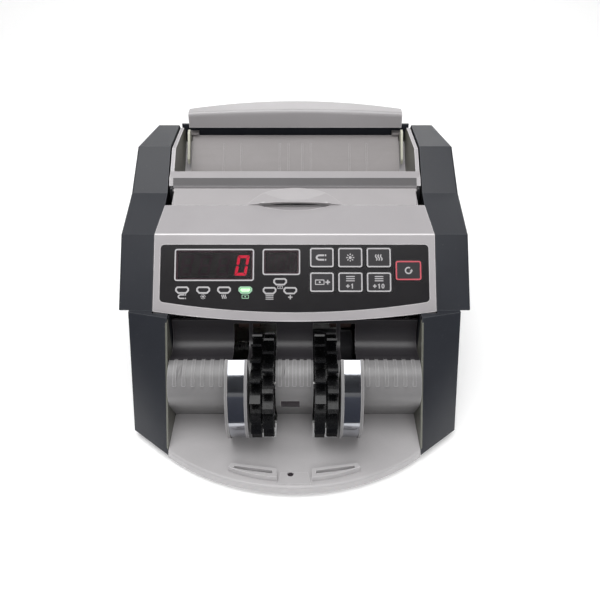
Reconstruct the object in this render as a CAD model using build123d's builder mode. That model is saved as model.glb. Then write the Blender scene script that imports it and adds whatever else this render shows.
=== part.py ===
from build123d import *
import math
import os

# Banknote counting machine, a desktop friction-type counter.
# Frame: +X to the machine's right seen from the operator, +Y to the rear, +Z up.
# Origin: centre of the footprint, at the bottom of the rubber feet. Millimetres.

os.makedirs("parts", exist_ok=True)

# ---------------------------------------------------------------- driving dimensions
WIDTH = 256.0            # over the side covers' shoulders
DEPTH = 290.0            # tray front to rear wall
HEIGHT = 180.0           # feet to the top of the carry handle
Y_FRONT = -DEPTH / 2
Y_REAR = DEPTH / 2
WALL = 2.5               # moulded wall
X_LOW = 120.5            # lower side cover, outer face
X_IN = 91.5              # stacker pocket side wall
X_STRIP = 103.5          # inner edge of the side cover beside the panel

# centre housing, side view points (y, z)
A_BOT = (-50.5, 91.1)
A_TOP = (-12.8, 132.9)
HOUSING_REAR = (18.5, 140.6)
FLAP_REAR = (37.4, 146.4)
PANEL_HALF = 103.2
SAG = 8.3                # how far the panel's lower edge bows down in the middle

# rotor axes (y, z)
STACK = (-81.0, 46.5)
TRANSPORT = (-20.0, 71.5)
PINCH = (-20.0, 93.5)
FEED = (40.0, 76.0)
PICKUP = (89.3, 109.4)
MAIN_MOTOR = (45.0, 34.0)
STACK_MOTOR = (-22.0, 33.0)
R_WHEEL = 37.5
R_TRANSPORT = 15.5
R_PINCH = 5.6
R_FEED = 19.6
R_PICKUP = 15.5
R_SHAFT = 4.0
R_STACK_SHAFT = 3.0
FIT = 0.05               # radial running clearance in the bearings
GAP = 0.3

X_FRAME = 92.0           # steel side frames, inner face
FRAME_T = 2.0
LANE_A = (99.0, 103.0)   # belt lanes outside the right side frame
LANE_B = (104.5, 108.5)
LANE_C = (110.0, 114.0)
R_PULLEY = 12.0
R_MOTOR_PULLEY = 7.0
R_STACK_PULLEY = 6.5
BELT_T = 1.2

WHEEL_X = 22.3           # centre of each stacker wheel
WHEEL_W = 15.8
CHROME_X = 39.5
CHROME_W = 11.2

# hopper plate: surface line (y, z), 40 degrees
PLATE_TOP = (122.0, 156.0)
PLATE_ANGLE = 40.0
PLATE_LEN = 80.0
PLATE_HALF = 90.0

# ---------------------------------------------------------------- helpers
pt = math.hypot(A_TOP[0] - A_BOT[0], A_TOP[1] - A_BOT[1])
T = ((A_TOP[0] - A_BOT[0]) / pt, (A_TOP[1] - A_BOT[1]) / pt)      # up the panel
N = (-T[1], T[0])                                                  # out of the panel
PANEL = Plane(origin=(0, A_BOT[0], A_BOT[1]), x_dir=(1, 0, 0), z_dir=(0, N[0], N[1]))

fl = math.hypot(FLAP_REAR[0] - HOUSING_REAR[0], FLAP_REAR[1] - HOUSING_REAR[1])
F = ((FLAP_REAR[0] - HOUSING_REAR[0]) / fl, (FLAP_REAR[1] - HOUSING_REAR[1]) / fl)
M = (-F[1], F[0])
FLAP_HINGE = (HOUSING_REAR[0] + 17.6 * F[0] + 1.2 * F[1], HOUSING_REAR[1] + 17.6 * F[1] - 1.2 * F[0])
FLAP = Plane(origin=(0, HOUSING_REAR[0], HOUSING_REAR[1]), x_dir=(1, 0, 0), z_dir=(0, M[0], M[1]))

ca, sa = math.cos(math.radians(PLATE_ANGLE)), math.sin(math.radians(PLATE_ANGLE))
PLATE = Plane(origin=(0, PLATE_TOP[0], PLATE_TOP[1]), x_dir=(1, 0, 0), z_dir=(0, -sa, ca))


def panel_pt(w, depth):
    """A side-view point w up the panel and depth below its face."""
    return (A_BOT[0] + w * T[0] - depth * N[0], A_BOT[1] + w * T[1] - depth * N[1])


def flap_pt(w, depth):
    return (HOUSING_REAR[0] + w * F[0] - depth * M[0], HOUSING_REAR[1] + w * F[1] - depth * M[1])


def plate_pt(s, depth):
    """A side-view point s down the hopper plate from its top and depth below its face."""
    return (PLATE_TOP[0] - s * ca + depth * sa, PLATE_TOP[1] - s * sa - depth * ca)


def yz(x):
    """Side-view plane at x: local x is +Y, local y is +Z, extrusion goes to +X."""
    return Plane(origin=(x, 0, 0), x_dir=(0, 1, 0), z_dir=(1, 0, 0))


def at(x, yz_pt):
    return Plane(origin=(x, yz_pt[0], yz_pt[1]), x_dir=(0, 1, 0), z_dir=(1, 0, 0))


def bar(x0, x1, poly, mode=Mode.ADD):
    """Extrude a side-view polygon between x0 and x1 inside the current part."""
    with BuildSketch(yz(x0)) as sk:
        Polygon(*poly, align=None)
    extrude(sk.sketch, amount=x1 - x0, mode=mode)


def disc(x0, x1, c, r, r_in=0.0, mode=Mode.ADD):
    """Cylinder or ring about an axis along X."""
    with BuildSketch(at(x0, c)) as sk:
        Circle(r)
        if r_in:
            Circle(r_in, mode=Mode.SUBTRACT)
    extrude(sk.sketch, amount=x1 - x0, mode=mode)


def block(x0, x1, y0, y1, z0, z1, mode=Mode.ADD):
    with BuildSketch(Plane.XY.offset(z0)) as sk:
        with Locations(((x0 + x1) / 2, (y0 + y1) / 2)):
            Rectangle(x1 - x0, y1 - y0)
    extrude(sk.sketch, amount=z1 - z0, mode=mode)


def pad(x0, x1, w0, w1, d0, d1, mode=Mode.ADD, r=0.0):
    """Block in panel coordinates: x, distance up the panel, depth below its face (d0 deeper than d1)."""
    with BuildSketch(PANEL.offset(-d0)) as sk:
        with Locations(((x0 + x1) / 2, (w0 + w1) / 2)):
            if r:
                RectangleRounded(x1 - x0, w1 - w0, r)
            else:
                Rectangle(x1 - x0, w1 - w0)
    extrude(sk.sketch, amount=d0 - d1, mode=mode)


def save(builder, label):
    builder.part.label = label
    export_step(builder.part, f"parts/{label}.step")


# ---------------------------------------------------------------- base plate and feet
FEET = [(-98, -62), (98, -62), (-98, 122), (98, 122)]
with BuildPart() as base_plate:
    with BuildSketch(Plane.XY.offset(5.0)):
        Polygon((-116.8, -79), (116.8, -79), (116.8, 60), (112.6, 114), (108.4, 140.2), (-108.4, 140.2), (-112.6, 114), (-116.8, 60), align=None)
    extrude(amount=3.0)
    # stiffening ribs and the ventilation slots under the transformer
    block(-14, 60, 137.0, 139.0, 8.0, 14.0)
    with Locations((0, 118, 8.0)):
        with GridLocations(12, 1, 7, 1):
            Box(4, 26, 12, mode=Mode.SUBTRACT)
    with Locations(*[(x, y, 8.0) for x, y in FEET]):
        Hole(radius=2.2, depth=3.0)
    fillet(base_plate.edges().filter_by(Axis.Z).group_by(Axis.Y)[0], 3.0)
save(base_plate, "base_plate")

with BuildPart() as rubber_feet:
    with BuildSketch(Plane.XY):
        with Locations(*FEET):
            Circle(9.0)
    extrude(amount=5.0)
    chamfer(rubber_feet.edges().filter_by(GeomType.CIRCLE).group_by(Axis.Z)[0], 1.0)
    # plug pressed up through the plate
    with BuildSketch(Plane.XY.offset(5.0)):
        with Locations(*FEET):
            Circle(2.2)
    extrude(amount=3.0)
save(rubber_feet, "rubber_feet")

# ---------------------------------------------------------------- side covers
UPPER = [A_BOT, A_TOP, (33.4, 143.5), (67.0, 168.5), (116.0, 167.4), (136.0, 150.0), (Y_REAR, 120.0), (Y_REAR, 91.0), (-50.5, 91.0)]
UPPER_IN = [(-46.5, 93.5), (-46.5, 93.6), (-11.5, 130.3), (34.4, 141.0), (67.8, 165.9), (115.0, 164.9), (134.0, 148.4), (Y_REAR - WALL, 119.4),
            (Y_REAR - WALL, 93.5)]

with BuildPart() as cover_upper:
    bar(99.8, 128.0, UPPER)
    with BuildSketch(Plane.XY.offset(80)):
        Polygon((X_STRIP, -60), (X_STRIP, -13), (99.8, 20), (99.8, 150), (113.5, 150), (118.2, 116), (126.0, 67), (128.0, 33), (128.0, -60), align=None)
    extrude(amount=100, mode=Mode.INTERSECT)
    fillet(cover_upper.edges().filter_by(lambda e: e.center().X > 112 and e.center().Z > 92 and abs(e.tangent_at(0.5).X) < 0.4 and e.length > 20
                                         and e.center().Y < 120), 1.6)

with BuildPart() as cover_lower:
    # ruled front face: the inner edge runs further forward than the outer one
    with BuildSketch(yz(X_IN)):
        Polygon((-112, 6), (-60, 91), (-40, 91), (-40, 6), align=None)
    with BuildSketch(yz(X_LOW)):
        Polygon((-87, 6), (-52.8, 91), (-40, 91), (-40, 6), align=None)
    loft(ruled=True)
    with BuildSketch(Plane.XY.offset(6)):
        Polygon((X_IN, -40), (X_LOW, -40), (X_LOW, 67), (116.5, 116), (112.0, Y_REAR), (99.8, Y_REAR), (99.8, 131), (X_IN, 131), align=None)
    extrude(amount=85)

with BuildPart() as cover_cavity:
    with BuildSketch(yz(93.7)):
        Polygon((-109.2, 0), (-54.0, 90), (-36, 96), (-36, 0), align=None)
    with BuildSketch(yz(X_LOW - WALL)):
        Polygon((-86.6, 0), (-48.6, 90), (-36, 96), (-36, 0), align=None)
    loft(ruled=True)
    # rear of the lower body is open towards the machine
    with BuildSketch(Plane.XY.offset(0)):
        Polygon((93.7, -46), (X_LOW - WALL, -46), (X_LOW - WALL, 66.8), (114.0, 115.6), (109.8, Y_REAR - WALL), (80, Y_REAR - WALL), (80, -44), (93.7, -44), align=None)
    extrude(amount=96)
    with BuildSketch(Plane.XY.offset(93.5)):
        Polygon((80, -50), (80, 142.5), (111.0, 142.5), (115.7, 115.6), (123.5, 66.8), (125.5, 32.8), (125.5, -50), align=None)
    extrude(amount=90)

with BuildPart() as cavity_limit:
    # keeps the top strip, the rear and the shoulder one wall thick
    bar(70.0, 130.0, [(-120, -5), (-120, 92.0), (-48.0, 92.0)] + UPPER_IN[2:8] + [(Y_REAR - WALL, -5)])

with BuildPart() as side_cover_right:
    add(cover_upper.part)
    add(cover_lower.part)
    # the panel housing's lower corner passes over the pocket wall
    block(85, X_STRIP, -54.3, -30, 86.8, 91.05, mode=Mode.SUBTRACT)
    block(85, 99.8, -46, 140, 86.8, 91.05, mode=Mode.SUBTRACT)
    add(cover_cavity.part.intersect(cavity_limit.part), mode=Mode.SUBTRACT)
    # notch where the pocket wall stands on the base plate
    block(90.0, 94.5, -80.0, -40.0, 5.0, 8.1, mode=Mode.SUBTRACT)
save(side_cover_right, "side_cover_right")

with BuildPart() as side_cover_left:
    mirror(side_cover_right.part, about=Plane.YZ)
save(side_cover_left, "side_cover_left")

# ---------------------------------------------------------------- centre housing with the sloping panel
A_LOW = panel_pt(-SAG, 0)
TOP_IN = (HOUSING_REAR[0], HOUSING_REAR[1])
KEYS = {
    "key_magnetic": (10.8, 29.2, 31.0, 46.5), "key_ultraviolet": (31.4, 50.2, 31.0, 46.5), "key_infrared": (52.3, 71.1, 31.0, 46.5),
    "key_add": (10.8, 29.2, 12.8, 28.2), "key_batch_plus_one": (31.4, 50.2, 12.8, 28.2), "key_batch_plus_ten": (52.3, 71.1, 12.8, 28.2),
    "key_reset": (73.4, 93.2, 21.5, 36.8),
}
WINDOWS = [(-87.1, -30.5, 22.3, 44.5), (-22.6, 3.3, 26.7, 44.5)]
LENSES = [(-82.0, 14.75), (-66.6, 14.75), (-51.4, 14.75), (-35.9, 14.75), (-10.5, 20.9), (-18.2, 14.35), (-3.1, 14.35)]
LIT = 3


def lens_shape(cx, w, grow=0.0):
    """Small window with cut corners, the lower ones cut further."""
    a, h = 3.6 + grow, 1.25 + grow
    return [(cx - a + 1.1, w - h), (cx + a - 1.1, w - h), (cx + a, w - h + 1.1), (cx + a, w + h - 0.5), (cx + a - 0.5, w + h), (cx - a + 0.5, w + h),
            (cx - a, w + h - 0.5), (cx - a, w - h + 1.1)]


H_OUT = [A_LOW, A_TOP, HOUSING_REAR, flap_pt(0.0, 2.9), flap_pt(17.8, 2.9), (36.2, 112.0), (-30.0, 96.0), (-44.0, 84.2)]
H_IN = [panel_pt(-SAG - 6, 3.3), panel_pt(pt - 1.2, 3.3), flap_pt(-2.0, 2.9), flap_pt(0.5, 5.2), flap_pt(fl + 4, 5.2), (45.0, 90.0), (-20, 70)]

with BuildPart() as panel_housing:
    bar(-PANEL_HALF, PANEL_HALF, H_OUT)
    # plan taper towards the rear
    with BuildSketch(Plane.XY.offset(60)):
        Polygon((-PANEL_HALF, -70), (PANEL_HALF, -70), (PANEL_HALF, -13), (99.5, 20), (99.5, 60), (-99.5, 60), (-99.5, 20), (-PANEL_HALF, -13), align=None)
    extrude(amount=100, mode=Mode.INTERSECT)
    bar(-PANEL_HALF + 2.3, PANEL_HALF - 2.3, H_IN, mode=Mode.SUBTRACT)
    # bowed lower edge of the panel
    with BuildSketch(PANEL.offset(-12)):
        with BuildLine():
            ThreePointArc((-PANEL_HALF - 0.5, -0.8), (0, -SAG), (PANEL_HALF + 0.5, -0.8))
            Polyline((PANEL_HALF + 0.5, -0.8), (PANEL_HALF + 0.5, -14), (-PANEL_HALF - 0.5, -14), (-PANEL_HALF - 0.5, -0.8))
        make_face()
    extrude(amount=14, mode=Mode.SUBTRACT)
    # rounded edge where the panel meets the top, and around the panel
    fillet(panel_housing.edges().filter_by(Axis.X).filter_by_position(Axis.Z, 132.5, 133.5).sort_by(Axis.Z)[-1:], 2.4)
    # recess for the membrane
    with BuildSketch(PANEL.offset(-0.8)):
        with BuildLine():
            ThreePointArc((-98.5, 6.2), (0, -1.7), (98.5, 6.2))
            Polyline((98.5, 6.2), (98.5, 48.6), (-98.5, 48.6), (-98.5, 6.2))
        make_face()
        fillet(vertices(), 3.0)
    extrude(amount=3, mode=Mode.SUBTRACT)
    for kx0, kx1, kw0, kw1 in KEYS.values():
        pad(kx0 - 0.35, kx1 + 0.35, kw0 - 0.35, kw1 + 0.35, 6, -1, mode=Mode.SUBTRACT, r=2.3)
    for wx0, wx1, ww0, ww1 in WINDOWS:
        pad(wx0 + 1.2, wx1 - 1.2, ww0 + 1.2, ww1 - 1.2, 6, -1, mode=Mode.SUBTRACT, r=1.0)
        pad(wx0, wx1, ww0, ww1, 1.6, -1, mode=Mode.SUBTRACT)
    with BuildSketch(PANEL.offset(-6)):
        for lx, lw in LENSES:
            Polygon(*lens_shape(lx, lw), align=None)
    extrude(amount=7, mode=Mode.SUBTRACT)
    # floor strip behind the panel's lower edge
    block(-PANEL_HALF, PANEL_HALF, -49.2, -43.5, 87.0, 88.6)
    # posts for the display board
    with BuildSketch(PANEL.offset(-8.0)):
        with Locations((-93.5, 40), (93.5, 44), (-93.5, 12), (93.5, 12), (6.5, 40), (6.5, 12)):
            Circle(2.4)
    extrude(amount=5.2)
    # access opening under the flap, and the finger scoop in front of it
    with BuildSketch(FLAP.offset(-8)):
        with Locations((0, 9.6)):
            Rectangle(168, 12.6)
    extrude(amount=9, mode=Mode.SUBTRACT)
    with BuildSketch(Plane(origin=(0, HOUSING_REAR[0], HOUSING_REAR[1] - 1.5), x_dir=(1, 0, 0), z_dir=(0, 0, 1))):
        with BuildLine():
            ThreePointArc((-29, 0.5), (0, -5.6), (29, 0.5))
            Line((29, 0.5), (-29, 0.5))
        make_face()
    extrude(amount=6, mode=Mode.SUBTRACT)
    # open shadow gap at each end of the flap
    for sx in (-1, 1):
        x0, x1 = sorted((sx * 95.2, sx * 104.0))
        block(x0, x1, 19.6, 40.0, 120.0, 150.0, mode=Mode.SUBTRACT)
save(panel_housing, "panel_housing")

with BuildPart() as membrane_overlay:
    with BuildSketch(PANEL.offset(-0.8)):
        with BuildLine():
            ThreePointArc((-98.3, 6.35), (0, -1.5), (98.3, 6.35))
            Polyline((98.3, 6.35), (98.3, 48.4), (-98.3, 48.4), (-98.3, 6.35))
        make_face()
        fillet(vertices(), 2.9)
    extrude(amount=0.8)
    for kx0, kx1, kw0, kw1 in KEYS.values():
        pad(kx0 - 0.35, kx1 + 0.35, kw0 - 0.35, kw1 + 0.35, 2, -1, mode=Mode.SUBTRACT, r=2.3)
    for wx0, wx1, ww0, ww1 in WINDOWS:
        pad(wx0, wx1, ww0, ww1, 2, -1, mode=Mode.SUBTRACT)
    with BuildSketch(PANEL.offset(-2)):
        for lx, lw in LENSES:
            Polygon(*lens_shape(lx, lw), align=None)
    extrude(amount=3, mode=Mode.SUBTRACT)
save(membrane_overlay, "membrane_overlay")

with BuildPart() as display_windows:
    for wx0, wx1, ww0, ww1 in WINDOWS:
        pad(wx0 + 0.05, wx1 - 0.05, ww0 + 0.05, ww1 - 0.05, 1.55, 0.05)
save(display_windows, "display_windows")

with BuildPart() as indicator_lenses:
    with BuildSketch(PANEL.offset(-7.9)):
        for i, (lx, lw) in enumerate(LENSES):
            if i != LIT:
                Polygon(*lens_shape(lx, lw, -0.05), align=None)
    extrude(amount=8.1)
save(indicator_lenses, "indicator_lenses")

with BuildPart() as indicator_lens_lit:
    with BuildSketch(PANEL.offset(-7.9)):
        Polygon(*lens_shape(*LENSES[LIT], -0.05), align=None)
    extrude(amount=8.1)
save(indicator_lens_lit, "indicator_lens_lit")

# display board: board, digit modules and key switches
with BuildPart() as display_board:
    pad(-96.5, 96.5, 9.0, 47.0, 9.6, 8.0)
    with BuildSketch(PANEL.offset(-8.0)):
        for wx0, wx1, ww0, ww1 in WINDOWS:
            with Locations(((wx0 + wx1) / 2, (ww0 + ww1) / 2)):
                Rectangle(wx1 - wx0 - 3.6, ww1 - ww0 - 3.6)
    extrude(amount=5.4)
    with BuildSketch(PANEL.offset(-8.0)):
        for kx0, kx1, kw0, kw1 in KEYS.values():
            with Locations(((kx0 + kx1) / 2, (kw0 + kw1) / 2)):
                Rectangle(6.2, 6.2)
    extrude(amount=2.0)
    with BuildSketch(PANEL.offset(-6.0)):
        for kx0, kx1, kw0, kw1 in KEYS.values():
            with Locations(((kx0 + kx1) / 2, (kw0 + kw1) / 2)):
                Circle(1.7)
    extrude(amount=0.9)
save(display_board, "display_board")

# the lit digit: slanted seven-segment zero (six bars) at the right end of the counting display
with BuildPart() as lit_digit:
    slant = math.radians(10)
    dw, dh, seg = 8.6, 15.0, 2.0
    cx, cw = -38.6, 33.4

    def dpt(u, v):
        return (cx + u + (v) * math.tan(slant), cw + v)

    segs = []
    hx, hy = dw / 2, dh / 2
    g = 0.35
    segs.append([dpt(-hx + g, hy), dpt(hx - g, hy), dpt(hx - g - seg, hy - seg), dpt(-hx + g + seg, hy - seg)])
    segs.append([dpt(-hx + g, -hy), dpt(hx - g, -hy), dpt(hx - g - seg, -hy + seg), dpt(-hx + g + seg, -hy + seg)])
    for sx in (-1, 1):
        for sy in (-1, 1):
            segs.append([dpt(sx * hx, sy * (hy - g)), dpt(sx * hx, sy * (g + 0.6)), dpt(sx * (hx - seg / 2), sy * g), dpt(sx * (hx - seg), sy * (g + 0.8)),
                         dpt(sx * (hx - seg), sy * (hy - g - seg))])
    with BuildSketch(PANEL.offset(-2.6)):
        for s in segs:
            Polygon(*s, align=None)
    extrude(amount=0.5)
save(lit_digit, "lit_digit")

for key_name, (kx0, kx1, kw0, kw1) in KEYS.items():
    with BuildPart() as key:
        pad(kx0, kx1, kw0, kw1, 3.0, -0.6, r=2.0)
        fillet(key.faces().sort_by(lambda f: f.center().Y * N[0] + f.center().Z * N[1])[-1].edges(), 0.35)
        pad((kx0 + kx1) / 2 - 2.5, (kx0 + kx1) / 2 + 2.5, (kw0 + kw1) / 2 - 2.5, (kw0 + kw1) / 2 + 2.5, 4.5, 3.0)
    save(key, key_name)

# ---------------------------------------------------------------- access flap in front of the hopper
tab_h = 3.6
r_tab = (37.0 ** 2 + tab_h ** 2) / (2 * tab_h)
# raised thumb tab: a segment in plan, crowned in the middle, fading to its ends and falling towards the hinge
with BuildPart() as thumb_tab:
    with BuildSketch(Plane(origin=(-40, HOUSING_REAR[0], HOUSING_REAR[1]), x_dir=(0, F[0], F[1]), z_dir=(1, 0, 0))):
        Polygon((0.35, -0.5), (0.35, tab_h), (1.2, tab_h + 0.1), (18.3, 1.0), (18.3, -0.5), align=None)
    extrude(amount=80)
    with BuildSketch(FLAP.offset(-1.0)):
        with BuildLine():
            ThreePointArc((-37.0, 0.35), (0, 18.2), (37.0, 0.35))
            Line((37.0, 0.35), (-37.0, 0.35))
        make_face()
    extrude(amount=6, mode=Mode.INTERSECT)
    with BuildSketch(Plane(origin=(0, HOUSING_REAR[0] - 5 * F[0], HOUSING_REAR[1] - 5 * F[1]), x_dir=(1, 0, 0), z_dir=(0, F[0], F[1]))):
        with Locations((0, r_tab - tab_h)):
            Circle(r_tab)
    extrude(amount=30, mode=Mode.INTERSECT)
with BuildPart() as access_flap:
    with BuildSketch(FLAP.offset(-2.4)):
        Polygon((-93.0, 0.35), (93.0, 0.35), (94.5, 18.6), (-94.5, 18.6), align=None)
    extrude(amount=2.4)
    add(thumb_tab.part)
    # finger hollow under the tab's front edge
    with BuildSketch(FLAP.offset(-3)):
        with BuildLine():
            ThreePointArc((-29, 0.0), (0, 5.0), (29, 0.0))
            Line((29, 0.0), (-29, 0.0))
        make_face()
    extrude(amount=4.9, mode=Mode.SUBTRACT)
    # hinge pins at the rear corners
    disc(-97.0, -94.0, FLAP_HINGE, 1.0)
    disc(94.0, 97.0, FLAP_HINGE, 1.0)
save(access_flap, "access_flap")

# ---------------------------------------------------------------- hopper frame: front bar and side walls
with BuildPart() as hopper_frame:
    bar(-98.8, 98.8, [(38.7, 140.5), (38.7, 147.2), (39.9, 148.4), (43.2, 152.0), (50.2, 154.3), (52.6, 153.0), (54.5, 113.0), (51.8, 113.0), (49.9, 150.6),
                      (44.4, 148.9), (41.2, 145.2), (41.2, 140.5)])
    fillet(hopper_frame.edges().filter_by(Axis.X).filter_by_position(Axis.Z, 151.9, 154.4), 0.9)
    # clearance over the side frames
    for sx in (-1, 1):
        x0, x1 = sorted((sx * 91.0, sx * 95.8))
        block(x0, x1, 50.0, 56.0, 110.0, 119.0, mode=Mode.SUBTRACT)
    # shadow line along the bar's front face
    with BuildSketch(yz(-97.5)):
        with Locations((38.7, 143.6)):
            Rectangle(1.6, 1.4)
    extrude(amount=195, mode=Mode.SUBTRACT)
    for sx in (-1, 1):
        x0, x1 = sorted((sx * 95.8, sx * 98.8))
        bar(x0, x1, [(38.7, 122.0), (38.7, 147.2), (43.2, 152.0), (50.2, 154.3), (67.6, 166.2), (115.4, 165.2), (121.8, 159.6), (121.8, 122.0)])
    # ears that take the flap's hinge pins
    for sx in (-1, 1):
        x0, x1 = sorted((sx * 95.6, sx * 97.4))
        block(x0, x1, FLAP_HINGE[0] - 1.9, 39.0, FLAP_HINGE[1] - 1.3, FLAP_HINGE[1] + 2.2)
        disc(x0 - 1, x1 + 1, FLAP_HINGE, 1.0 + FIT, mode=Mode.SUBTRACT)
    # gusset webs carrying the hopper plate
    for sx in (-1, 1):
        x0, x1 = sorted((sx * 90.3, sx * 95.8))
        bar(x0, x1, [plate_pt(40, 4.0), plate_pt(4, 4.0), plate_pt(4, 6.5), plate_pt(40, 6.5)])
save(hopper_frame, "hopper_frame")

# ---------------------------------------------------------------- hopper plate
ROLLER_X = 30.0
with BuildPart() as hopper_plate:
    with BuildSketch(PLATE.offset(-2.5)):
        with Locations((0, -PLATE_LEN / 2)):
            Rectangle(2 * PLATE_HALF, PLATE_LEN)
    extrude(amount=2.5)
    # fine ribs down the slope
    with BuildSketch(PLATE):
        for rx in (-62, -47, -13.5, -6, 6, 13.5, 47, 62):
            with Locations((rx, -PLATE_LEN / 2 - 3)):
                Rectangle(1.4, PLATE_LEN - 10)
    extrude(amount=0.5)
    # turned-down lip at the top
    bar(-PLATE_HALF, PLATE_HALF, [plate_pt(0, 0), plate_pt(0, 2.5), (123.6, 146.0), (121.4, 146.0), (121.4, 152.0), plate_pt(2.0, 0.5)])
    # pickup roller windows
    with BuildSketch(PLATE.offset(-6)):
        for rx in (-ROLLER_X, ROLLER_X):
            with Locations((rx, -54.3)):
                Rectangle(17, 27)
    extrude(amount=9, mode=Mode.SUBTRACT)
    # support ledges resting on the frame's webs
    for sx in (-1, 1):
        x0, x1 = sorted((sx * 84.0, sx * 90.0))
        bar(x0, x1, [plate_pt(60, 2.5), plate_pt(24, 2.5), plate_pt(24, 6.5), plate_pt(60, 6.5)])
    for sx in (-1, 1):
        x0, x1 = sorted((sx * 88.0, sx * 90.3))
        bar(x0, x1, [plate_pt(60, 4.0), plate_pt(24, 4.0), plate_pt(24, 6.5), plate_pt(60, 6.5)])
save(hopper_plate, "hopper_plate")

for side, sx in (("left", -1), ("right", 1)):
    with BuildPart() as guide:
        # fin standing along the plate's edge
        x0, x1 = sorted((sx * 91.0, sx * 92.8))
        bar(x0, x1, [plate_pt(28, -0.9), plate_pt(0.5, -0.9), (121.0, 158.8), (117.2, 162.8), (113.5, 161.5), (99.5, 143.0)])
        # hook over the plate's top edge, sliding along its back
        x0, x1 = sorted((sx * 84.5, sx * 92.8))
        bar(x0, x1, [(119.6, 157.2), (124.3, 157.2), (124.3, 148.0), (126.1, 148.0), (126.1, 158.8), (119.6, 158.8)])
    save(guide, f"hopper_guide_{side}")

# ---------------------------------------------------------------- carry handle across the top rear
with BuildPart() as carry_handle:
    with BuildSketch(Plane.XY.offset(164.4)):
        with BuildLine():
            Line((-91.8, 118.0), (91.8, 118.0))
            Line((91.8, 118.0), (91.8, 131.5))
            ThreePointArc((91.8, 131.5), (0, 143.2), (-91.8, 131.5))
            Line((-91.8, 131.5), (-91.8, 118.0))
        make_face()
    extrude(amount=HEIGHT - 164.4)
    # arched top: higher in the middle than at the ends
    r_arch = 92.0 ** 2 / (2 * 2.8) + 1.4
    with BuildSketch(Plane(origin=(0, 100, 0), x_dir=(1, 0, 0), z_dir=(0, -1, 0)).offset(-60)):
        with Locations((0, HEIGHT - r_arch)):
            Circle(r_arch)
    extrude(amount=90, mode=Mode.INTERSECT)
    fillet(carry_handle.edges().group_by(Axis.Z)[-1] + carry_handle.edges().filter_by(lambda e: e.center().Z > 176 and e.length > 15), 3.4)
    # finger channel, open downwards
    with BuildSketch(Plane.XY.offset(160)):
        with BuildLine():
            Line((-85.0, 121.0), (85.0, 121.0))
            Line((85.0, 121.0), (85.0, 130.6))
            ThreePointArc((85.0, 130.6), (0, 141.0), (-85.0, 130.6))
            Line((-85.0, 130.6), (-85.0, 121.0))
        make_face()
    extrude(amount=12.6, mode=Mode.SUBTRACT)
    # legs down to the rear cover
    for sx in (-1, 1):
        x0, x1 = sorted((sx * 85.0, sx * 91.8))
        bar(x0, x1, [(128.8, 151.0), (135.4, 148.555), (133.6, 160.0), (131.5, 165.0), (128.8, 165.0)])
save(carry_handle, "carry_handle")

# ---------------------------------------------------------------- rear cover
REAR_HALF = 99.4
R_OUT = [(128.8, 164.2), (128.8, 151.0), (136.9, 148.0), (142.8, 122.0), (142.8, 8.2)]
R_INN = [(126.8, 164.2), (126.8, 149.2), (135.0, 146.2), (140.3, 121.7), (140.3, 8.2)]
INLET_X, INLET_Z = -52.0, 34.0
PORT_X, PORT_Z = 52.0, 30.0
with BuildPart() as rear_cover:
    bar(-REAR_HALF, REAR_HALF, R_OUT + R_INN[::-1])
    # web rising into the handle's channel
    block(-84.6, 84.6, 126.8, 128.8, 164.0, 168.5)
    with BuildSketch(Plane.XZ.offset(-150)):
        with Locations((INLET_X, INLET_Z)):
            Rectangle(66.4, 27.4)
        with Locations((PORT_X, PORT_Z)):
            Rectangle(17.4, 14.4)
    extrude(amount=12, mode=Mode.SUBTRACT)
    # ventilation louvres
    with BuildSketch(Plane.XZ.offset(-150)):
        with Locations((0, 92)):
            with GridLocations(9.0, 1, 13, 1):
                SlotOverall(24, 3.4, rotation=90)
    extrude(amount=12, mode=Mode.SUBTRACT)
    # screw holes
    with BuildSketch(Plane.XZ.offset(-150)):
        with Locations((-93, 14), (93, 14), (-93, 112), (93, 112)):
            Circle(1.6)
    extrude(amount=12, mode=Mode.SUBTRACT)
save(rear_cover, "rear_cover")

with BuildPart() as rear_cover_screws:
    with BuildSketch(Plane.XZ.offset(-142.8)):
        with Locations((-93, 14), (93, 14), (-93, 112), (93, 112)):
            Circle(3.0)
    extrude(amount=-1.8)
    with BuildSketch(Plane.XZ.offset(-142.8)):
        with Locations((-93, 14), (93, 14), (-93, 112), (93, 112)):
            Circle(1.6)
    extrude(amount=7.0)
    with BuildSketch(Plane.XZ.offset(-144.6)):
        with Locations((-93, 14), (93, 14), (-93, 112), (93, 112)):
            Rectangle(3.6, 0.7)
            Rectangle(0.7, 3.6)
    extrude(amount=1.0, mode=Mode.SUBTRACT)
save(rear_cover_screws, "rear_cover_screws")

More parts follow.
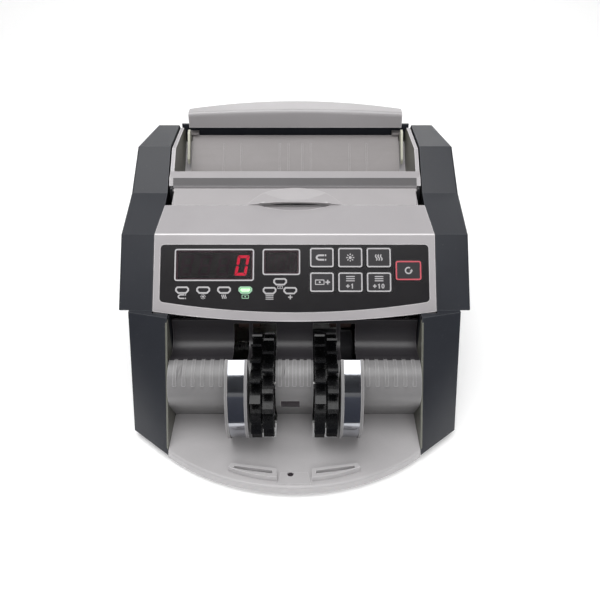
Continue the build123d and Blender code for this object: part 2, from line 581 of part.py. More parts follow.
# ---------------------------------------------------------------- power inlet module, rocker and display port
ROCK_X = INLET_X + 21.5
with BuildPart() as power_inlet:
    block(INLET_X - 33.0, INLET_X + 33.0, 118.0, 142.8, INLET_Z - 13.5, INLET_Z + 13.5)
    block(INLET_X - 35.0, INLET_X + 35.0, 142.8, 144.6, INLET_Z - 16.0, INLET_Z + 16.0)
    # socket cavity and its three pins
    with BuildSketch(Plane.XZ.offset(-150)):
        with BuildLine():
            Polyline((INLET_X - 29.5, INLET_Z - 8.5), (INLET_X - 5.5, INLET_Z - 8.5), (INLET_X - 5.5, INLET_Z + 4.5), (INLET_X - 9.5, INLET_Z + 8.5),
                     (INLET_X - 25.5, INLET_Z + 8.5), (INLET_X - 29.5, INLET_Z + 4.5), (INLET_X - 29.5, INLET_Z - 8.5))
        make_face()
    extrude(amount=24, mode=Mode.SUBTRACT)
    for px, pz in ((-24.5, -3.0), (-17.5, 2.5), (-10.5, -3.0)):
        block(INLET_X + px - 1.0, INLET_X + px + 1.0, 125.9, 139.0, INLET_Z + pz - 2.5, INLET_Z + pz + 2.5)
    # rocker opening and fuse drawer
    block(ROCK_X - 7.0, ROCK_X + 7.0, 128.0, 150.0, INLET_Z - 10.5, INLET_Z + 10.5, mode=Mode.SUBTRACT)
    block(INLET_X - 1.5, INLET_X + 9.5, 144.6, 145.0, INLET_Z - 10.0, INLET_Z + 10.0)
    disc(ROCK_X - 7.2, ROCK_X - 6.0, (139.0, INLET_Z), 1.4)
    disc(ROCK_X + 6.0, ROCK_X + 7.2, (139.0, INLET_Z), 1.4)
save(power_inlet, "power_inlet")

ROCK_AXIS = (139.0, INLET_Z)
ROCK_TILT = math.radians(9.0)            # off position: the top edge is pressed in
ROCKER = [(-4.5, -7.0), (-4.5, 7.0), (3.6, 9.2), (1.6, 0.0), (3.6, -9.2)]
ROCKER = [(ROCK_AXIS[0] + y * math.cos(ROCK_TILT) - z * math.sin(ROCK_TILT), ROCK_AXIS[1] + y * math.sin(ROCK_TILT) + z * math.cos(ROCK_TILT)) for y, z in ROCKER]
with BuildPart() as power_rocker:
    bar(ROCK_X - 6.6, ROCK_X + 6.6, ROCKER)
    disc(ROCK_X - 7.5, ROCK_X + 7.5, (139.0, INLET_Z), 1.4 + FIT, mode=Mode.SUBTRACT)
    for sx in (-1, 1):
        x0, x1 = sorted((ROCK_X + sx * 5.9, ROCK_X + sx * 3.0))
        disc(x0, x1, (139.0, INLET_Z), 1.6)
save(power_rocker, "power_rocker")

with BuildPart() as display_port:
    block(PORT_X - 8.6, PORT_X + 8.6, 126.0, 143.8, PORT_Z - 7.1, PORT_Z + 7.1)
    block(PORT_X - 6.0, PORT_X + 6.0, 130.0, 146.0, PORT_Z - 4.4, PORT_Z + 4.0, mode=Mode.SUBTRACT)
    block(PORT_X - 3.0, PORT_X + 3.0, 130.0, 146.0, PORT_Z + 4.0, PORT_Z + 5.8, mode=Mode.SUBTRACT)
    with Locations((PORT_X, 134.5, PORT_Z - 4.0)):
        with GridLocations(1.6, 1, 6, 1):
            Box(0.6, 9, 0.9)
save(display_port, "display_port")

# ---------------------------------------------------------------- stacker pocket: guide wall with its bulge
BULGE = (-73.0, 43.0)
R_BULGE = 19.5
VALLEY = (-61.0, 73.5)
R_VALLEY = math.hypot(VALLEY[0] - BULGE[0], VALLEY[1] - BULGE[1]) - R_BULGE
SHEET = 2.0
FLOOR = 10.0
FOOT = (-74.0, FLOOR)


def polar(c, r, deg):
    return (c[0] + r * math.cos(math.radians(deg)), c[1] + r * math.sin(math.radians(deg)))


ang_v = math.degrees(math.atan2(VALLEY[1] - BULGE[1], VALLEY[0] - BULGE[0]))       # bulge centre to valley centre
dx, dz = BULGE[0] - FOOT[0], BULGE[1] - FOOT[1]
dist = math.hypot(dx, dz)
foot_dir = math.degrees(math.atan2(dz, dx)) + math.degrees(math.asin(R_BULGE / dist))
tan_len = math.sqrt(dist ** 2 - R_BULGE ** 2)
T_LOW = (FOOT[0] + tan_len * math.cos(math.radians(foot_dir)), FOOT[1] + tan_len * math.sin(math.radians(foot_dir)))
ang_low = math.degrees(math.atan2(T_LOW[1] - BULGE[1], T_LOW[0] - BULGE[0])) % 360
WALL_TOP = 80.0


def sheet_face(off0, off1, z_bottom):
    """Closed side-view outline of the guide wall between two offsets behind its front surface."""
    rows = []
    for off in (off0, off1):
        rb, rv = R_BULGE - off, R_VALLEY + off
        top = (VALLEY[0] + rv, WALL_TOP)
        v0 = (VALLEY[0] + rv, VALLEY[1])
        v1 = polar(VALLEY, rv, ang_v - 180)
        vm = polar(VALLEY, rv, (ang_v - 180) / 2)
        b0 = polar(BULGE, rb, ang_v)
        b1 = polar(BULGE, rb, ang_low)
        bm = polar(BULGE, rb, (ang_v + ang_low) / 2)
        dirx, dirz = FOOT[0] - T_LOW[0], FOOT[1] - T_LOW[1]
        k = (z_bottom - b1[1]) / dirz
        end = (b1[0] + k * dirx, z_bottom)
        rows.append((top, v0, vm, v1, b0, bm, b1, end))
    a, b = rows
    Line(a[0], a[1])
    ThreePointArc(a[1], a[2], a[3])
    ThreePointArc(a[4], a[5], a[6])
    Line(a[6], a[7])
    Line(a[7], b[7])
    Line(b[7], b[6])
    ThreePointArc(b[6], b[5], b[4])
    ThreePointArc(b[3], b[2], b[1])
    Line(b[1], b[0])
    Line(b[0], a[0])


def behind_wall():
    """Everything behind the guide wall's front surface (side view)."""
    rb, rv = R_BULGE, R_VALLEY
    top = (VALLEY[0] + rv, 95.0)
    v0 = (VALLEY[0] + rv, VALLEY[1])
    v1 = polar(VALLEY, rv, ang_v - 180)
    vm = polar(VALLEY, rv, (ang_v - 180) / 2)
    b1 = polar(BULGE, rb, ang_low)
    bm = polar(BULGE, rb, (ang_v + ang_low) / 2)
    dirx, dirz = FOOT[0] - T_LOW[0], FOOT[1] - T_LOW[1]
    k = (0 - b1[1]) / dirz
    end = (b1[0] + k * dirx, 0)
    Line(top, v0)
    ThreePointArc(v0, vm, v1)
    ThreePointArc(v1, bm, b1)
    Line(b1, end)
    Line(end, (0, 0))
    Line((0, 0), (0, 95.0))
    Line((0, 95.0), top)


R_FIN = 38.4
with BuildPart() as fin_blank:
    with BuildSketch(at(0, STACK)):
        Circle(R_FIN)
    extrude(amount=2.0)
    block(-1, 3, -130, -46, -10, FLOOR, mode=Mode.SUBTRACT)
    # the fin starts where the chrome strip starts
    with BuildSketch(at(-1, STACK)):
        Polygon((0, 0), (60 * math.cos(math.radians(112)), 60 * math.sin(math.radians(112))), (70, 60), (70, 0), align=None)
    extrude(amount=4, mode=Mode.SUBTRACT)
    with BuildSketch(yz(-1)):
        with BuildLine():
            behind_wall()
        make_face()
    extrude(amount=4, mode=Mode.SUBTRACT)

with BuildPart() as stacker_guide:
    with BuildSketch(yz(-90.8)):
        with BuildLine():
            sheet_face(0.0, SHEET, FLOOR)
        make_face()
    extrude(amount=181.6)
    for sx in (-1, 1):
        # wheel slots
        x0, x1 = sorted((sx * (WHEEL_X - WHEEL_W / 2 - 0.9), sx * (WHEEL_X + WHEEL_W / 2 + 0.9)))
        block(x0, x1, -130, -30, FLOOR - 1, 77.0, mode=Mode.SUBTRACT)
        # openings above the chrome guides
        x0, x1 = sorted((sx * (CHROME_X - CHROME_W / 2), sx * (CHROME_X + CHROME_W / 2)))
        block(x0, x1, -100, -30, 50.0, 77.0, mode=Mode.SUBTRACT)
    # light fins each side of the chrome guides
    for fx in (-CHROME_X - CHROME_W / 2 - 2.0, -CHROME_X + CHROME_W / 2, CHROME_X - CHROME_W / 2 - 2.0, CHROME_X + CHROME_W / 2):
        with Locations((fx, 0, 0)):
            add(fin_blank.part)
    # sensor window seat, low on the bulge
    with BuildSketch(Plane.XZ.offset(110)):
        with Locations((-3.0, 36.0)):
            Rectangle(13.6, 9.2)
    extrude(amount=-30, mode=Mode.SUBTRACT)
    # fine upright ribs over the bulge's crown
    for xr in [sx * (52.5 + k * 6.6) for k in range(6) for sx in (-1, 1)] + [k * 5.2 for k in (-2, -1, 0, 1, 2)]:
        with BuildSketch(at(xr - 1.2, BULGE)):
            Circle(R_BULGE + 0.8)
            Circle(R_BULGE - 0.6, mode=Mode.SUBTRACT)
            with Locations((0, -30)):
                Rectangle(60, 80, mode=Mode.SUBTRACT)
            with Locations((28, 0)):
                Rectangle(52, 80, mode=Mode.SUBTRACT)
        extrude(amount=2.4)
save(stacker_guide, "stacker_guide")

with BuildPart() as chrome_guides:
    for sx in (-1, 1):
        x0, x1 = sorted((sx * (CHROME_X - CHROME_W / 2 + 0.05), sx * (CHROME_X + CHROME_W / 2 - 0.05)))
        with BuildSketch(at(x0, STACK)):
            Circle(37.6)
            Circle(36.4, mode=Mode.SUBTRACT)
            # keep from 68 degrees above the front down to the floor
            with BuildLine():
                Polyline((0, 0), (60 * math.cos(math.radians(112)), 60 * math.sin(math.radians(112))), (70, 60), (70, -60), (0, -60), (0, 0))
            make_face(mode=Mode.SUBTRACT)
            with Locations((-20, -STACK[1] + FLOOR - 15)):
                Rectangle(60, 30, mode=Mode.SUBTRACT)
        extrude(amount=x1 - x0)
save(chrome_guides, "chrome_guides")

# ---------------------------------------------------------------- stacker tray
OUTLINE = [(91.0, -109.0), (86.0, -116.0), (55.0, -130.6), (26.0, -141.0), (0.0, Y_FRONT)]
with BuildPart() as stacker_tray:
    with BuildSketch(Plane.XY.offset(8.0)):
        with BuildLine():
            Line((-91.0, -72.5), (91.0, -72.5))
            Line((91.0, -72.5), (91.0, -112.0))
            ThreePointArc((91.0, -112.0), (0, Y_FRONT), (-91.0, -112.0))
            Line((-91.0, -112.0), (-91.0, -72.5))
        make_face()
    extrude(amount=2.0)
    with BuildSketch(Plane.XY.offset(3.5)):
        with BuildLine():
            Line((-91.0, -84.0), (91.0, -84.0))
            Line((91.0, -84.0), (91.0, -112.0))
            ThreePointArc((91.0, -112.0), (0, Y_FRONT), (-91.0, -112.0))
            Line((-91.0, -112.0), (-91.0, -84.0))
        make_face()
    extrude(amount=4.5)
    with BuildSketch(Plane.XY.offset(3.5)):
        with BuildLine():
            Line((-88.5, -80.0), (88.5, -80.0))
            Line((88.5, -80.0), (88.5, -110.2))
            ThreePointArc((88.5, -110.2), (0, Y_FRONT + 2.6), (-88.5, -110.2))
            Line((-88.5, -110.2), (-88.5, -80.0))
        make_face()
    extrude(amount=4.5, mode=Mode.SUBTRACT)
    # wheel slots
    for sx in (-1, 1):
        x0, x1 = sorted((sx * (WHEEL_X - WHEEL_W / 2 - 0.9), sx * (WHEEL_X + WHEEL_W / 2 + 0.9)))
        block(x0, x1, -98, -70, 5, 12, mode=Mode.SUBTRACT)
    fillet(stacker_tray.edges().filter_by(lambda e: e.center().Z > 9.9 and e.length > 150 and e.center().Y < -120), 1.9)
    # stop lips
    with BuildSketch(Plane.XY.offset(10.0)):
        for sx in (-1, 1):
            with BuildLine():
                p = [(sx * 12.0, -139.5), (sx * 12.5, -132.0), (sx * 44.0, -127.0), (sx * 46.0, -130.5)]
                Polyline(p[0], p[1], p[2], p[3])
                ThreePointArc(p[3], (sx * 29.0, -136.6), p[0])
            make_face()
    extrude(amount=4.6)
    with BuildSketch(Plane.XY.offset(11.6)):
        for sx in (-1, 1):
            Polygon((sx * 15.0, -136.2), (sx * 15.2, -133.8), (sx * 41.5, -129.4), (sx * 42.5, -131.2), (sx * 29, -135.0), align=None)
    extrude(amount=4, mode=Mode.SUBTRACT)
    # centre tab and sensor hole
    with BuildSketch(Plane.XY.offset(10.0)):
        Polygon((-9.4, -132.0), (9.4, -132.0), (11.4, -142.6), (-11.4, -142.6), align=None)
    extrude(amount=0.8)
    with BuildSketch(Plane.XY.offset(2)):
        with Locations((-2.6, -131.0 - 2.5)):
            Circle(2.3)
    extrude(amount=12, mode=Mode.SUBTRACT)
save(stacker_tray, "stacker_tray")

# sensor window on the bulge and the eye under the tray
with BuildPart() as stacker_sensors:
    with BuildSketch(at(-9.7, BULGE)):
        Circle(R_BULGE - 0.3)
        Circle(R_BULGE - 2.3, mode=Mode.SUBTRACT)
    extrude(amount=13.4)
    block(-12, 8, -100, -40, 40.5, 80, mode=Mode.SUBTRACT)
    block(-12, 8, -100, -40, 0, 31.5, mode=Mode.SUBTRACT)
    block(-12, 8, -73, -40, 0, 80, mode=Mode.SUBTRACT)
    with BuildSketch(Plane.XY.offset(5.0)):
        with Locations((-2.6, -133.5)):
            Circle(2.1)
    extrude(amount=4.4)
    with BuildSketch(Plane.XY.offset(4.0)):
        with Locations((-2.6, -133.5)):
            Circle(3.2)
    extrude(amount=3.9)
save(stacker_sensors, "stacker_sensors")

# ---------------------------------------------------------------- stacker wheels and shaft
def blade_outline():
    """Swept-back flexible blade: a thin curved strip from the hub to the rim."""
    mid = []
    for i in range(9):
        t = i / 8
        r = 21.5 + (R_WHEEL - 0.25 - 21.5) * t
        a = math.radians(24.0 * t ** 1.25)
        mid.append((r * math.cos(a), r * math.sin(a)))
    left, right = [], []
    for i, (px, py) in enumerate(mid):
        qx, qy = mid[min(i + 1, 8)]
        ox, oy = mid[max(i - 1, 0)]
        tx, ty = qx - ox, qy - oy
        tl = math.hypot(tx, ty)
        h = 1.1 - 0.35 * i / 8
        left.append((px - ty / tl * h, py + tx / tl * h))
        right.append((px + ty / tl * h, py - tx / tl * h))
    return left + right[::-1]


BLADE = blade_outline()


def wheel(x_mid):
    # two rows of blades, the second half a pitch on
    for row, x0 in enumerate((x_mid - WHEEL_W / 2, x_mid + WHEEL_W / 2 - 7.2)):
        with BuildSketch(at(x0, STACK)) as sk:
            Circle(23.0)
            with PolarLocations(0, 16, start_angle=11.25 * row):
                Polygon(*BLADE, align=None)
            Circle(R_STACK_SHAFT, mode=Mode.SUBTRACT)
        extrude(sk.sketch, amount=7.2)
    with BuildSketch(at(x_mid - WHEEL_W / 2, STACK)) as sk:
        Circle(20.0)
        Circle(R_STACK_SHAFT, mode=Mode.SUBTRACT)
    extrude(sk.sketch, amount=WHEEL_W)


with BuildPart() as impeller_left:
    wheel(-WHEEL_X)
save(impeller_left, "impeller_left")
with BuildPart() as impeller_right:
    wheel(WHEEL_X)
save(impeller_right, "impeller_right")


def pulley(x0, x1, c, r, mode=Mode.ADD):
    """Toothed belt pulley with a rim each side."""
    disc(x0, x1, c, r)
    disc(x0 - 0.8, x0, c, r + 0.2)
    disc(x1, x1 + 0.8, c, r + 0.2)


STACK_PULLEY = (-2.5, 1.5)
with BuildPart() as impeller_shaft:
    disc(-76.0, 76.0, STACK, R_STACK_SHAFT)
    pulley(STACK_PULLEY[0], STACK_PULLEY[1], STACK, R_STACK_PULLEY)
    disc(-68.0, -66.4, STACK, 4.6)
    disc(66.4, 68.0, STACK, 4.6)
save(impeller_shaft, "impeller_shaft")

with BuildPart() as stacker_brackets:
    for x0 in (-71.5, 69.5):
        bar(x0, x0 + 2.0, [(-68.0, 8.0), (-48.0, 8.0), (-48.0, 56.0), (-72.0, 57.5), (-85.0, 54.0), (-87.6, 46.0), (-86.5, 38.0), (-74.0, 22.0)])
        disc(x0 - 1, x0 + 3, STACK, 5.0, mode=Mode.SUBTRACT)
    block(-71.5, -60.0, -68.0, -48.0, 8.0, 9.6)
    block(60.0, 71.5, -68.0, -48.0, 8.0, 9.6)
save(stacker_brackets, "stacker_brackets")

# ---------------------------------------------------------------- feed train
with BuildPart() as transport_shaft:
    disc(-97.0, LANE_C[1] + 2.0, TRANSPORT, R_SHAFT)
    pulley(LANE_C[0], LANE_C[1], TRANSPORT, R_PULLEY)
    for x in (-35, 35):
        disc(x - 8.0, x + 8.0, TRANSPORT, 10.0)
save(transport_shaft, "transport_shaft")
with BuildPart() as transport_rollers:
    for x in (-35, 35):
        disc(x - 8.0, x + 8.0, TRANSPORT, R_TRANSPORT, 10.0)
save(transport_rollers, "transport_rollers")

with BuildPart() as pinch_rollers:
    disc(-90.5, 90.5, PINCH, 2.5)
    for x in (-35, 35):
        disc(x - 6.5, x + 6.5, PINCH, R_PINCH)
save(pinch_rollers, "pinch_rollers")

with BuildPart() as feed_shaft:
    disc(-107.0, LANE_C[1] + 2.0, FEED, R_SHAFT)
    pulley(LANE_A[0], LANE_A[1], FEED, R_PULLEY)
    pulley(LANE_B[0] + 0.3, LANE_B[1], FEED, R_PULLEY)
    pulley(LANE_C[0] + 0.3, LANE_C[1], FEED, R_PULLEY)
    for x in (-24, 24):
        disc(x - 7.0, x + 7.0, FEED, 13.0)
    # encoder disc on the left end
    with BuildSketch(at(-103.0, FEED)):
        Circle(21.0)
        with PolarLocations(17.5, 24):
            Rectangle(4.0, 1.6, mode=Mode.SUBTRACT)
    extrude(amount=1.0)
    disc(-106.0, -100.0, FEED, 7.0)
save(feed_shaft, "feed_shaft")
with BuildPart() as feed_rollers:
    for x in (-24, 24):
        with BuildSketch(at(x - 7.0, FEED)):
            Circle(R_FEED)
            with PolarLocations(R_FEED, 20):
                Circle(0.7, mode=Mode.SUBTRACT)
            Circle(13.0, mode=Mode.SUBTRACT)
        extrude(amount=14.0)
save(feed_rollers, "feed_rollers")

with BuildPart() as pickup_shaft:
    disc(-97.0, LANE_B[1] + 2.0, PICKUP, R_SHAFT)
    pulley(LANE_B[0], LANE_B[1], PICKUP, R_PULLEY)
    for x in (-ROLLER_X, ROLLER_X):
        disc(x - 7.0, x + 7.0, PICKUP, 10.0)
save(pickup_shaft, "pickup_shaft")
with BuildPart() as pickup_rollers:
    for x in (-ROLLER_X, ROLLER_X):
        with BuildSketch(at(x - 7.0, PICKUP)):
            Circle(R_PICKUP)
            with PolarLocations(R_PICKUP, 16):
                Circle(0.7, mode=Mode.SUBTRACT)
            Circle(10.0, mode=Mode.SUBTRACT)
        extrude(amount=14.0)
save(pickup_rollers, "pickup_rollers")

# motors: body with mounting flange; the pulley turns on its shaft
with BuildPart() as main_motor:
    disc(40.0, 91.0, MAIN_MOTOR, 24.0)
    fillet(main_motor.edges().filter_by(GeomType.CIRCLE).group_by(Axis.X)[0], 3.0)
    disc(91.0, 92.0, MAIN_MOTOR, 9.0)
    disc(38.0, 40.2, MAIN_MOTOR, 8.0)
    block(91.0, 92.0, 17.0, 73.0, 26.0, 42.0)
    disc(90.0, 93.0, MAIN_MOTOR, 4.2, mode=Mode.SUBTRACT)
save(main_motor, "main_motor")
with BuildPart() as main_motor_pulley:
    disc(91.3, LANE_A[1] + 1.2, MAIN_MOTOR, R_SHAFT)
    pulley(LANE_A[0], LANE_A[1], MAIN_MOTOR, R_MOTOR_PULLEY)
save(main_motor_pulley, "main_motor_pulley")

with BuildPart() as stacker_motor:
    disc(8.0, 46.0, STACK_MOTOR, 15.5)
    fillet(stacker_motor.edges().filter_by(GeomType.CIRCLE).group_by(Axis.X)[-1], 2.0)
    disc(46.0, 48.0, STACK_MOTOR, 5.0)
    # bracket to the base
    bar(6.5, 8.0, [(-36.0, 8.0), (-8.0, 8.0), (-8.0, 46.0), (-36.0, 46.0)])
    disc(6.0, 9.0, STACK_MOTOR, 3.2, mode=Mode.SUBTRACT)
    block(6.5, 26.0, -36.0, -8.0, 8.0, 9.6)
save(stacker_motor, "stacker_motor")
with BuildPart() as stacker_motor_pulley:
    disc(-4.5, 8.8, STACK_MOTOR, R_STACK_SHAFT)
    pulley(STACK_PULLEY[0], STACK_PULLEY[1], STACK_MOTOR, R_MOTOR_PULLEY)
save(stacker_motor_pulley, "stacker_motor_pulley")


# belts: closed loops lying just clear of their pulleys
def belt(x0, x1, c1, r1, c2, r2):
    clear = GAP
    for grow, mode in ((clear + BELT_T, Mode.ADD), (clear, Mode.SUBTRACT)):
        a, b = r1 + grow, r2 + grow
        ddx, ddz = c2[0] - c1[0], c2[1] - c1[1]
        d = math.hypot(ddx, ddz)
        base = math.atan2(ddz, ddx)
        off = math.acos((a - b) / d)
        p1, p2 = (c1[0] + a * math.cos(base + off), c1[1] + a * math.sin(base + off)), (c2[0] + b * math.cos(base + off), c2[1] + b * math.sin(base + off))
        q1, q2 = (c1[0] + a * math.cos(base - off), c1[1] + a * math.sin(base - off)), (c2[0] + b * math.cos(base - off), c2[1] + b * math.sin(base - off))
        with BuildSketch(yz(x0 + 0.3)) as sk:
            with BuildLine():
                Line(p1, p2)
                ThreePointArc(p2, (c2[0] + b * math.cos(base), c2[1] + b * math.sin(base)), q2)
                Line(q2, q1)
                ThreePointArc(q1, (c1[0] - a * math.cos(base), c1[1] - a * math.sin(base)), p1)
            make_face()
        extrude(sk.sketch, amount=x1 - x0 - 0.6, mode=mode)


with BuildPart() as drive_belts:
    belt(LANE_A[0], LANE_A[1], MAIN_MOTOR, R_MOTOR_PULLEY, FEED, R_PULLEY)
with BuildPart() as belt_b:
    belt(LANE_B[0] + 0.3, LANE_B[1], FEED, R_PULLEY, PICKUP, R_PULLEY)
with BuildPart() as belt_c:
    belt(LANE_C[0] + 0.3, LANE_C[1], TRANSPORT, R_PULLEY, FEED, R_PULLEY)
with BuildPart() as belt_d:
    belt(STACK_PULLEY[0], STACK_PULLEY[1], STACK, R_STACK_PULLEY, STACK_MOTOR, R_MOTOR_PULLEY)
with BuildPart() as drive_belts_all:
    add(drive_belts.part)
    add(belt_b.part)
    add(belt_c.part)
    add(belt_d.part)
save(drive_belts_all, "drive_belts")

# ---------------------------------------------------------------- steel side frames, rods and bearings
FRAME_OUT = [(-44.0, 8.0), (134.0, 8.0), (134.0, 112.0), (98.0, 118.4), (12.0, 118.4), (-18.0, 102.0), (-44.0, 78.0)]
RODS = [(2.0, 16.0), (122.0, 74.0), (67.0, 88.0)]
AXES = [TRANSPORT, FEED, PICKUP]
for side, sx in (("left", -1), ("right", 1)):
    with BuildPart() as frame_plate:
        x0, x1 = sorted((sx * X_FRAME, sx * (X_FRAME + FRAME_T)))
        bar(x0, x1, FRAME_OUT)
        for c in AXES:
            disc(x0 - 1, x1 + 1, c, 7.0, mode=Mode.SUBTRACT)
        for c in RODS:
            disc(x0 - 1, x1 + 1, c, 1.6, mode=Mode.SUBTRACT)
        disc(x0 - 1, x1 + 1, MAIN_MOTOR, 5.0, mode=Mode.SUBTRACT)
        # turned-in foot and lightening windows
        y0, y1 = sorted((sx * (X_FRAME - 12.0), sx * X_FRAME))
        block(y0, y1, -30.0, 14.0, 8.0, 9.6)
        block(y0, y1, 100.0, 130.0, 8.0, 9.6)
        with BuildSketch(yz(x0 - 1)):
            with Locations((100, 60)):
                RectangleRounded(34, 44, 5)
            with Locations((-2, 42)):
                RectangleRounded(22, 22, 4)
        extrude(amount=FRAME_T + 2, mode=Mode.SUBTRACT)
    save(frame_plate, f"side_frame_{side}")

with BuildPart() as cross_rods:
    for c in RODS:
        disc(-X_FRAME, X_FRAME, c, 4.0)
        for sx in (-1, 1):
            x0, x1 = sorted((sx * X_FRAME, sx * (X_FRAME + FRAME_T + 0.2)))
            disc(x0, x1, c, 1.6)
            x0, x1 = sorted((sx * (X_FRAME + FRAME_T), sx * (X_FRAME + FRAME_T + 2.0)))
            disc(x0, x1, c, 3.2)
save(cross_rods, "cross_rods")

with BuildPart() as shaft_bearings:
    for c in AXES:
        for sx in (-1, 1):
            x0, x1 = sorted((sx * (X_FRAME - 1.5), sx * (X_FRAME + FRAME_T + 1.0)))
            disc(x0, x1, c, 7.0, R_SHAFT + FIT)
    for x0 in (-72.5, 69.0):
        disc(x0, x0 + 3.5, STACK, 5.0, R_STACK_SHAFT + FIT)
    # pinch shaft blocks, fixed inside the side frames
    for sx in (-1, 1):
        x0, x1 = sorted((sx * 87.0, sx * X_FRAME))
        with BuildSketch(yz(x0)):
            with Locations(PINCH):
                Rectangle(11, 9)
            with Locations(PINCH):
                Circle(2.5 + FIT, mode=Mode.SUBTRACT)
        extrude(amount=x1 - x0)
save(shaft_bearings, "shaft_bearings")

# ---------------------------------------------------------------- note guides
LOW = [(56.0, 99.5), (40.0, 94.6), (-20.0, 85.9), (-44.0, 82.4)]
UP = [(24.0, 95.6), (-20.0, 89.3), (-42.0, 86.0)]
with BuildPart() as note_guides:
    bar(-90.0, 90.0, LOW + [(y, z - 1.2) for y, z in LOW[::-1]])
    for sx in (-1, 1):
        x0, x1 = sorted((sx * 15.5, sx * 32.5))
        block(x0, x1, 22, 50.5, 80, 100, mode=Mode.SUBTRACT)
        x0, x1 = sorted((sx * 25.5, sx * 44.5))
        block(x0, x1, -34, -6, 80, 100, mode=Mode.SUBTRACT)
        # sensor windows
        x0, x1 = sorted((sx * 56.0, sx * 64.0))
        block(x0, x1, -3, 5, 80, 100, mode=Mode.SUBTRACT)
with BuildPart() as upper_guide:
    bar(-86.5, 86.5, UP + [(y, z + 1.2) for y, z in UP[::-1]])
    for sx in (-1, 1):
        x0, x1 = sorted((sx * 27.0, sx * 43.0))
        block(x0, x1, -28, -12, 80, 100, mode=Mode.SUBTRACT)
        x0, x1 = sorted((sx * 56.0, sx * 64.0))
        block(x0, x1, -3, 5, 80, 100, mode=Mode.SUBTRACT)
    block(-9, 9, -4, 6, 80, 100, mode=Mode.SUBTRACT)
with BuildPart() as note_guides_all:
    add(note_guides.part)
    add(upper_guide.part)
save(note_guides_all, "note_guides")

with BuildPart() as counting_sensors:
    for x in (-60, 60):
        block(x - 3.8, x + 3.8, -2.8, 4.8, 76.0, 86.5)
        block(x - 3.8, x + 3.8, -2.8, 4.8, 92.4, 100.0)
    # magnetic head between them
    block(-8.5, 8.5, -3.5, 5.5, 91.6, 101.0)
    # carrier strip to the frames
    block(-91.5, 91.5, -3.0, 5.0, 101.0, 102.5)
    block(-60.5, -59.5, -1, 3, 100.0, 101.0)
    block(59.5, 60.5, -1, 3, 100.0, 101.0)
save(counting_sensors, "counting_sensors")

with BuildPart() as uv_lamp:
    disc(-55.0, 55.0, (15.5, 101.5), 4.2)
    for sx in (-1, 1):
        x0, x1 = sorted((sx * 55.0, sx * 62.0))
        disc(x0, x1, (15.5, 101.5), 5.0)
save(uv_lamp, "uv_lamp")

with BuildPart() as separator_block:
    block(-34.0, 34.0, 33.0, 47.0, 99.0, 110.0)
    # bridge between the side frames, with the bush for the gap screw
    block(-X_FRAME, X_FRAME, 24.0, 38.0, 112.0, 114.5)
    block(-20, -14, 33.0, 38.0, 109.0, 113.0)
    block(14, 20, 33.0, 38.0, 109.0, 113.0)
    with Locations((0, 30, 114.5)):
        Hole(radius=3.0 + FIT, depth=3.0)
    # rubber-faced pads over the feed rollers
    for x in (-24, 24):
        block(x - 6.0, x + 6.0, 35.0, 45.0, 96.6, 99.0)
save(separator_block, "separator_block")

with BuildPart() as gap_knob:
    with BuildSketch(Plane.XY.offset(122.0)):
        with Locations((0, 30)):
            Circle(8.5)
            with PolarLocations(8.5, 18):
                Circle(0.7, mode=Mode.SUBTRACT)
    extrude(amount=9.0)
    with BuildSketch(Plane.XY.offset(108.0)):
        with Locations((0, 30)):
            Circle(3.0)
    extrude(amount=14.0)
    with BuildSketch(Plane.XY.offset(131.0)):
        with Locations((0, 30)):
            Rectangle(2.0, 14.0)
    extrude(amount=-1.0, mode=Mode.SUBTRACT)
    with BuildSketch(Plane.XY.offset(114.8)):
        with Locations((0, 30)):
            Circle(5.0)
    extrude(amount=2.0)
save(gap_knob, "gap_knob")

# ---------------------------------------------------------------- electrics
with BuildPart() as transformer:
    block(-78.0, -22.0, 66.0, 104.0, 10.0, 54.0)
    block(-68.0, -32.0, 57.0, 113.0, 19.0, 45.0)
    fillet(transformer.edges().filter_by(Axis.Z).filter_by(lambda e: e.length < 30), 4.0)
    block(-79.5, -20.5, 68.0, 102.0, 8.0, 10.0)
save(transformer, "transformer")

with BuildPart() as main_board:
    with BuildSketch(Plane.XY.offset(8.0)):
        with Locations((2, 80), (74, 80), (2, 118), (74, 118)):
            Circle(3.0)
    extrude(amount=8.0)
    block(-3.0, 87.0, 75.0, 124.0, 16.0, 17.6)
    for x, y, a, b, h in ((15, 88, 16, 8, 6), (40, 92, 22, 10, 4), (66, 88, 12, 16, 18), (20, 110, 26, 10, 9), (72, 112, 10, 10, 14)):
        block(x - a / 2, x + a / 2, y - b / 2, y + b / 2, 17.6, 17.6 + h)
    with BuildSketch(Plane.XY.offset(17.6)):
        with Locations((46, 108), (56, 108)):
            Circle(4.5)
    extrude(amount=16)
save(main_board, "main_board")
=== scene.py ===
import math
import bmesh
import bpy
import numpy as np
from mathutils import Matrix, Vector


